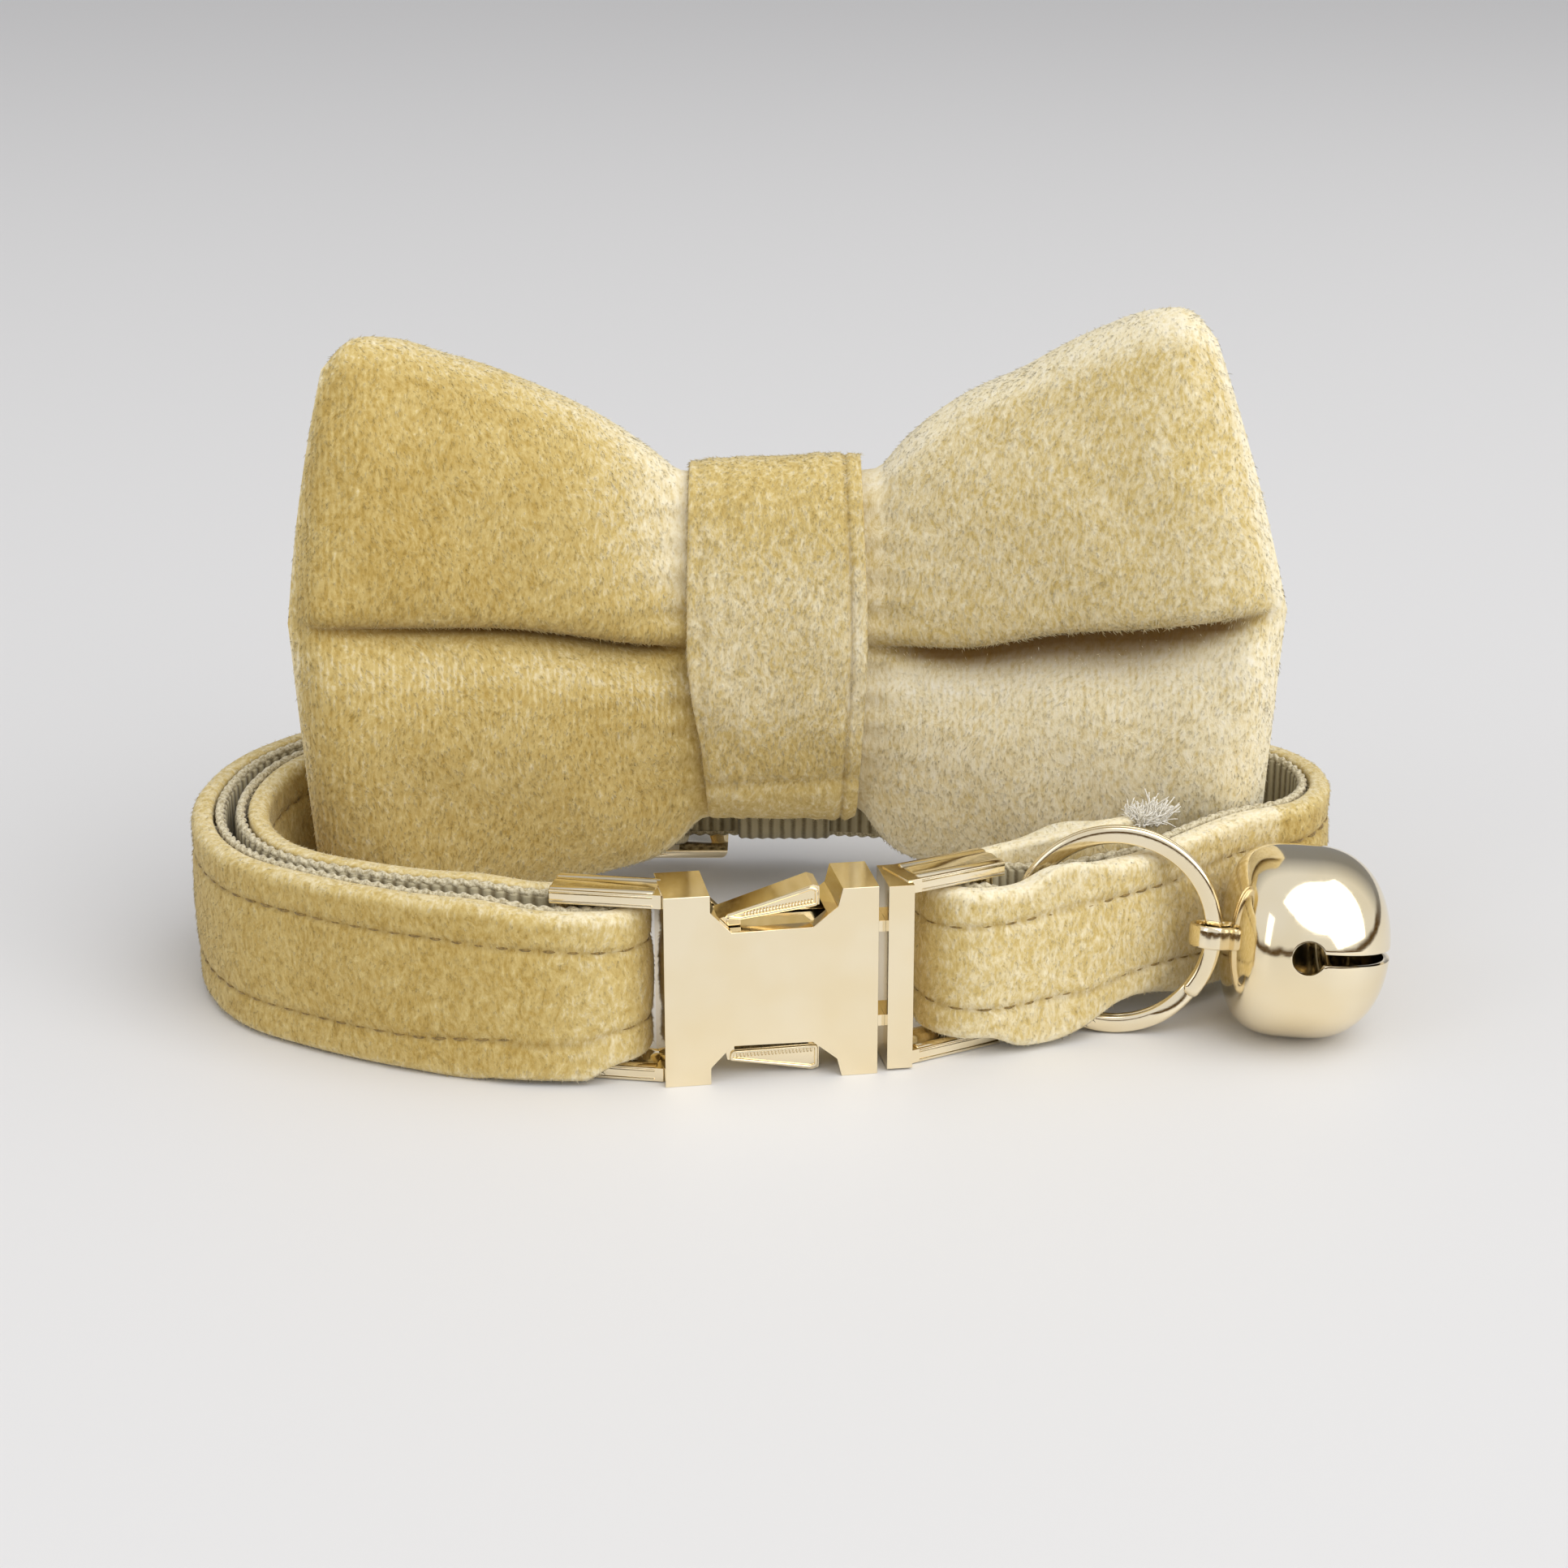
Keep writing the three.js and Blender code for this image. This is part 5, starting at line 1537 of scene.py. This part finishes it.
@dataclass
class JingleBell:
    """The bell: a thin shell with its axis to the right, cut by a slot from two round holes."""

    radius: float = 8.5
    length: float = 14.0
    wall: float = 0.5
    slot: float = 1.0
    hole: float = 1.45
    hole_back: float = 1.4
    roll: float = -10.0
    pitch: float = 4.0
    loop_radius: float = 1.56
    loop_wall: float = 0.6
    loop_height: float = 2.0
    loop_reach: float = 1.15
    flat_power: float = 3.7
    round_power: float = 2.33

    def middle(self, ring: SplitRing) -> np.ndarray:
        """The bell's middle, beyond the ring's right side by the loop's reach.

        Args:
            ring: The ring that it hangs on.

        Returns:
            X, Y and Z, where Z is the bell's own radius.
        """
        yaw, pitch = math.radians(ring.yaw), math.radians(self.pitch)
        reach = (self.length / 2 + self.loop_reach) * math.cos(pitch)
        return np.array([ring.centre[0] + ring.radius * math.cos(yaw) + reach,
                         ring.centre[1] + ring.radius * math.sin(yaw), self.radius])

    def rotation(self) -> np.ndarray:
        """The bell's own turn, first its roll about X and then its pitch about Y."""
        return turned(math.radians(self.pitch), 1) @ turned(math.radians(self.roll), 0)

    def half_shell(self, way: float) -> np.ndarray:
        """One half of the shell, above or below the slot.

        Along the axis the radius is a superellipse; round it the half runs from the slot's edge in
        front to the slot's edge behind, and the edge widens round each hole.

        Args:
            way: 1 for the upper half, -1 for the lower.

        Returns:
            Rows along the axis by columns round it by three.
        """
        half = self.length / 2
        hole, back = self.hole, self.hole_back
        left = -back - hole
        right = -back + math.sqrt(hole**2 - (self.slot / 2) ** 2)
        far = half * 0.9993
        ease = (1 - np.cos(np.linspace(0, math.pi, 22))) / 2
        x = np.concatenate([-half * np.cos(np.linspace(0.0, 1, 44) ** 1.6
                                           * math.acos(-left / half)),
                            left + (right - left) * ease[1:],
                            half * np.sin(np.linspace(math.asin(right / half),
                                                      math.asin(far / half), 40))[1:]])
        power = np.where(x < 0, self.flat_power, self.round_power)
        fall = np.clip(1 - np.clip(np.abs(x) / half, 0, 1) ** power, 0, 1)
        girth = np.maximum(self.radius * fall ** (1 / power), 1e-3)
        round_hole = np.sqrt(np.clip(hole**2 - (x + back) ** 2, 0, None))
        opening = np.where(x < right, round_hole, self.slot / 2) * (x > left)
        start = np.arcsin(np.clip(opening / girth, 0, 1))[:, None]
        angle = start + (math.pi - 2 * start) * np.linspace(0, 1, 72)[None, :]
        return np.stack([x[:, None] + 0 * angle, -girth[:, None] * np.cos(angle),
                         way * girth[:, None] * np.sin(angle)], -1)

    def shell(self, look: bpy.types.Material, ring: SplitRing) -> bpy.types.Object:
        """Builds and dresses the shell.

        The two halves are joined behind and at both ends, and the wall lies inside them.

        Args:
            look: The metal.
            ring: The ring that it hangs on.

        Returns:
            The piece.
        """
        surface = Surface()
        upper, lower = self.half_shell(1.0), self.half_shell(-1.0)[:, ::-1]
        for part in (upper, lower):
            surface.grid(part @ self.rotation().T + self.middle(ring))
        made = surface.build("bell_shell", merge=0.02)
        mesh = bmesh.new()
        mesh.from_mesh(made.data)
        bmesh.ops.recalc_face_normals(mesh, faces=mesh.faces)
        centre = PLACE.metres(self.middle(ring))
        sample = max(mesh.faces, key=lambda f: f.calc_center_median().z)
        if sample.normal.z * (sample.calc_center_median().z - centre[2]) < 0:
            bmesh.ops.reverse_faces(mesh, faces=mesh.faces)
        mesh.to_mesh(made.data)
        mesh.free()
        wall = made.modifiers.new("wall", "SOLIDIFY")
        wall.thickness = self.wall * MM
        wall.offset = -1.0
        rim = made.modifiers.new("rim", "BEVEL")
        rim.width = 0.12 * MM
        rim.segments = 2
        rim.limit_method = "ANGLE"
        rim.angle_limit = math.radians(50)
        return finished(made, look, Slot.GILT, "jingle_bell")

    def loop(self, look: bpy.types.Material, ring: SplitRing) -> bpy.types.Object:
        """Builds and dresses the hanging loop, a flat band closed on itself.

        Args:
            look: The metal.
            ring: The ring that it goes round.

        Returns:
            The piece.
        """
        angle = np.arange(64) * math.tau / 64
        radial = np.column_stack([np.cos(angle), np.sin(angle), np.zeros(64)])
        path = radial * (self.loop_radius + self.loop_wall / 2)
        path[:, 0] -= self.length / 2 + self.loop_reach
        up = np.broadcast_to([0.0, 0.0, 1.0], path.shape)
        section = round_section(20, (self.loop_wall / 2, self.loop_height / 2), 4.0)
        points = tube(path, radial, up, section) @ self.rotation().T + self.middle(ring)
        surface = Surface().grid(points, None, (True, True))
        return finished(surface.build("bell_loop"), look, Slot.GILT)


@dataclass
class Fixings:
    """The elastic keeper behind the bow and the webbing tab on the slider."""

    rib: float = 1.1
    keeper_heights: Pair = (3.6, 20.3)

    @staticmethod
    def ribbon_loop(name: str, low: Triple, high: Triple, wall: float, corner: float, upright: bool,
                    rib: float, squeeze: float, look: bpy.types.Material, slot: Slot,
                    node: str) -> bpy.types.Object:
        """A closed loop of ribbed ribbon that fills a box.

        Round the loop the line is a squarish superellipse, drawn in towards the front as the
        square of the distance, and the ribbon's faces rise and fall as a cosine across it.

        Args:
            name: The piece's name.
            low: Lowest corner of the box, in the maker's millimetres.
            high: Highest corner.
            wall: Thickness of the ribbon.
            corner: Power of the loop's superellipse.
            upright: True where the loop goes round the vertical, false where round the X axis.
            rib: Width of a rib.
            squeeze: Share of its height by which the loop is drawn in at its front.
            look: Its material.
            slot: The record's slot.
            node: The solid that it stands for.

        Returns:
            The piece.
        """
        lo, hi = np.array(low), np.array(high)
        middle, half = (lo + hi) / 2, (hi - lo) / 2
        first, wide = (0, 2) if upright else (2, 0)
        loop = round_section(88, (half[first] - wall / 2, half[1] - wall / 2), corner)
        ahead, behind = np.roll(loop, -1, 0), np.roll(loop, 1, 0)
        way = ahead - behind
        out = np.column_stack([way[:, 1], -way[:, 0]])
        out /= np.linalg.norm(out, axis=1, keepdims=True)
        across = np.concatenate([np.linspace(-1, 1, 57), np.linspace(1, -1, 57)[1:-1]])
        face = np.concatenate([np.ones(57), -np.ones(55)])
        thick = wall / 2 * np.sqrt(1 - np.abs(across) ** 24)
        ribs = 0.06 * np.cos(math.tau * across * half[wide] / rib) * (np.abs(across) < 0.96)
        lift = face * (thick + ribs - 0.06 * (thick > 0))
        pinch = 1 - squeeze * np.clip(-loop[:, 1:] / half[1], 0, 1) ** 2
        points = np.zeros((len(loop), len(across), 3))
        points[..., first] = middle[first] + loop[:, :1] * pinch + out[:, :1] * lift
        points[..., 1] = middle[1] + loop[:, 1:] + out[:, 1:] * lift
        points[..., wide] = middle[wide] + half[wide] * across
        u = np.arange(len(loop) + 1)[:, None] * 0.045 + 0 * np.arange(len(across) + 1)
        v = np.arange(len(across) + 1)[None, :] * half[wide] / 280 + 0 * u
        surface = Surface().grid(points, np.stack([v, u], -1), (True, True))
        return finished(surface.build(name), look, slot, node)

    def build(self, webbing: bpy.types.Material, elastic: bpy.types.Material) -> None:
        """Builds the keeper and the tab inside the boxes of their solids."""
        for node, name, upright, look, slot, corner in (
                ("bow_keeper", "keeper_ribbon", False, elastic, Slot.ELASTIC, 9.0),
                ("slider_tab", "tab_ribbon", True, webbing, Slot.WEBBING, 5.0)):
            low, high = (np.array(c) / MM - PLACE.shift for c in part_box(node))
            if node == "bow_keeper":
                low[2], high[2] = self.keeper_heights
            keeper = slot is Slot.ELASTIC
            self.ribbon_loop(name, tuple(low), tuple(high), 0.55 if keeper else 0.85, corner,
                             upright, self.rib, 0.3 if keeper else 0.0, look, slot, node)


@dataclass
class Studio:
    """Pale floor, soft lights and the camera at the photograph's angle."""

    focal_pixels: float = 3400.0
    image_pixels: float = 1932.0
    sensor: float = 36.0
    pitch: float = 18.02
    eye: Triple = (0.0, -213.5, 96.4)
    table: str = "DEDDDB"
    dark: str = "553F1C"
    room_front: str = "ECECEE"
    room_back: str = "8E8F92"
    room_strength: float = 0.94
    backdrop: str = "E3E2E1"

    def camera(self) -> None:
        """Makes the camera."""
        data = bpy.data.cameras.new("camera")
        data.sensor_width = self.sensor
        data.lens = self.focal_pixels / self.image_pixels * self.sensor
        data.clip_start = 0.01
        made = bpy.data.objects.new("camera", data)
        made.location = tuple(PLACE.metres(np.array(self.eye)))
        made.rotation_euler = (math.radians(90 - self.pitch), 0.0, 0.0)
        bpy.context.scene.collection.objects.link(made)
        bpy.context.scene.camera = made

    def soft_light(self, name: str, place: Triple, aim: Triple, size: Pair, watts: float,
                   tint: str) -> None:
        """Adds one rectangular soft light.

        Args:
            name: Its name.
            place: Its middle, in metres.
            aim: The point that it faces.
            size: Its two sides.
            watts: Its power.
            tint: Its colour, as sRGB hex.
        """
        data = bpy.data.lights.new(name, "AREA")
        data.shape = "RECTANGLE"
        data.size, data.size_y = size
        data.energy = watts
        data.color = linear(tint)[:3]
        made = bpy.data.objects.new(name, data)
        made.location = place
        way = np.array(aim) - np.array(place)
        flat = math.hypot(way[0], way[1])
        made.rotation_euler = (math.atan2(flat, -way[2]), 0.0, math.atan2(-way[0], way[1]))
        bpy.context.scene.collection.objects.link(made)

    def build(self) -> None:
        """Makes the floor, the lights and the camera."""
        self.camera()
        mesh = bpy.data.meshes.new("floor")
        mesh.from_pydata([(-4, -4, 0), (4, -4, 0), (4, 4, 0), (-4, 4, 0)], [], [(0, 1, 2, 3)])
        floor = bpy.data.objects.new("floor", mesh)
        mesh.materials.append(PaperSweep().material())
        bpy.context.scene.collection.objects.link(floor)
        world = bpy.data.worlds.new("studio")
        world.use_nodes = True
        tree = world.node_tree
        back = tree.nodes["Background"]
        way = add_node(tree, "ShaderNodeTexCoord").outputs["Generated"]
        parts = add_node(tree, "ShaderNodeSeparateXYZ", {0: way})
        rough = add_node(tree, "ShaderNodeTexNoise", {"Vector": way, "Scale": 2.2, "Detail": 2.0})
        height = add_node(tree, "ShaderNodeMath", {
            0: rough.outputs[0], 1: 0.3, 2: parts.outputs[2]}, operation="MULTIPLY_ADD").outputs[0]
        height = add_node(tree, "ShaderNodeMapRange", {
            "Value": height, "From Min": -1.0, "From Max": 1.0}).outputs[0]
        room = add_node(tree, "ShaderNodeValToRGB", {"Fac": height})
        set_ramp(room, [(0.56, self.table), (0.575, self.dark), (0.625, self.dark),
                        (0.67, self.room_front)])
        behind = add_node(tree, "ShaderNodeMapRange", {
            "Value": parts.outputs[1], "From Min": 0.25, "From Max": 0.7}).outputs[0]
        tone = add_node(tree, "ShaderNodeMix", {
            "Factor": behind, 6: room.outputs[0], 7: linear(self.room_back)}, data_type="RGBA")
        seen = add_node(tree, "ShaderNodeLightPath").outputs["Is Camera Ray"]
        tone = add_node(tree, "ShaderNodeMix", {
            "Factor": seen, 6: tone.outputs[2], 7: linear(self.backdrop)}, data_type="RGBA")
        tree.links.new(tone.outputs[2], back.inputs["Color"])
        back.inputs["Strength"].default_value = self.room_strength
        bpy.context.scene.world = world
        self.soft_light("key", (0.8, -0.72, 1.1), (0.0, 0.0, 0.0), (1.6, 2.1), 18.6, "FFFFFF")
        self.soft_light("left_fill", (-0.9, -0.8, 0.6), (0.0, 0.0, 0.02), (0.4, 0.8), 1.2, "FFFFFF")
        bpy.context.scene.view_settings.view_transform = "Standard"


def main() -> None:
    """Builds and dresses every piece in order."""
    logging.basicConfig(level=logging.INFO, format="%(name)s %(message)s")
    velvet = Velvet().material()
    webbing = RibbedWebbing().material()
    elastic = RibbedWebbing("Woven elastic", "B9AE8E", "72664A", 1.1, 0.3).material()
    thread = Yarn("Sewing thread dull gold", "94793E", "6A5528").material()
    edge = Yarn("Twisted polyester selvedge", "DCD2B4", "A3946E").material()
    white = Yarn("Cut polyester yarn off-white", "F6F3EA", "D9D1BC").material()
    gilt = GiltMetal().material()
    strap = Strap()
    strap.velvet(velvet)
    strap.lining(webbing)
    strap.selvedges(edge)
    strap.stitches(thread)
    strap.frayed_end(white)
    bow = Bow()
    bow.build(velvet)
    CentreBand().build(velvet, bow)
    Fastening().build(gilt)
    ring = SplitRing()
    ring.build(gilt)
    bell = JingleBell()
    bell.shell(gilt, ring)
    bell.loop(gilt, ring)
    Fixings().build(webbing, elastic)
    Studio().build()


if __name__ == "__main__":
    main()
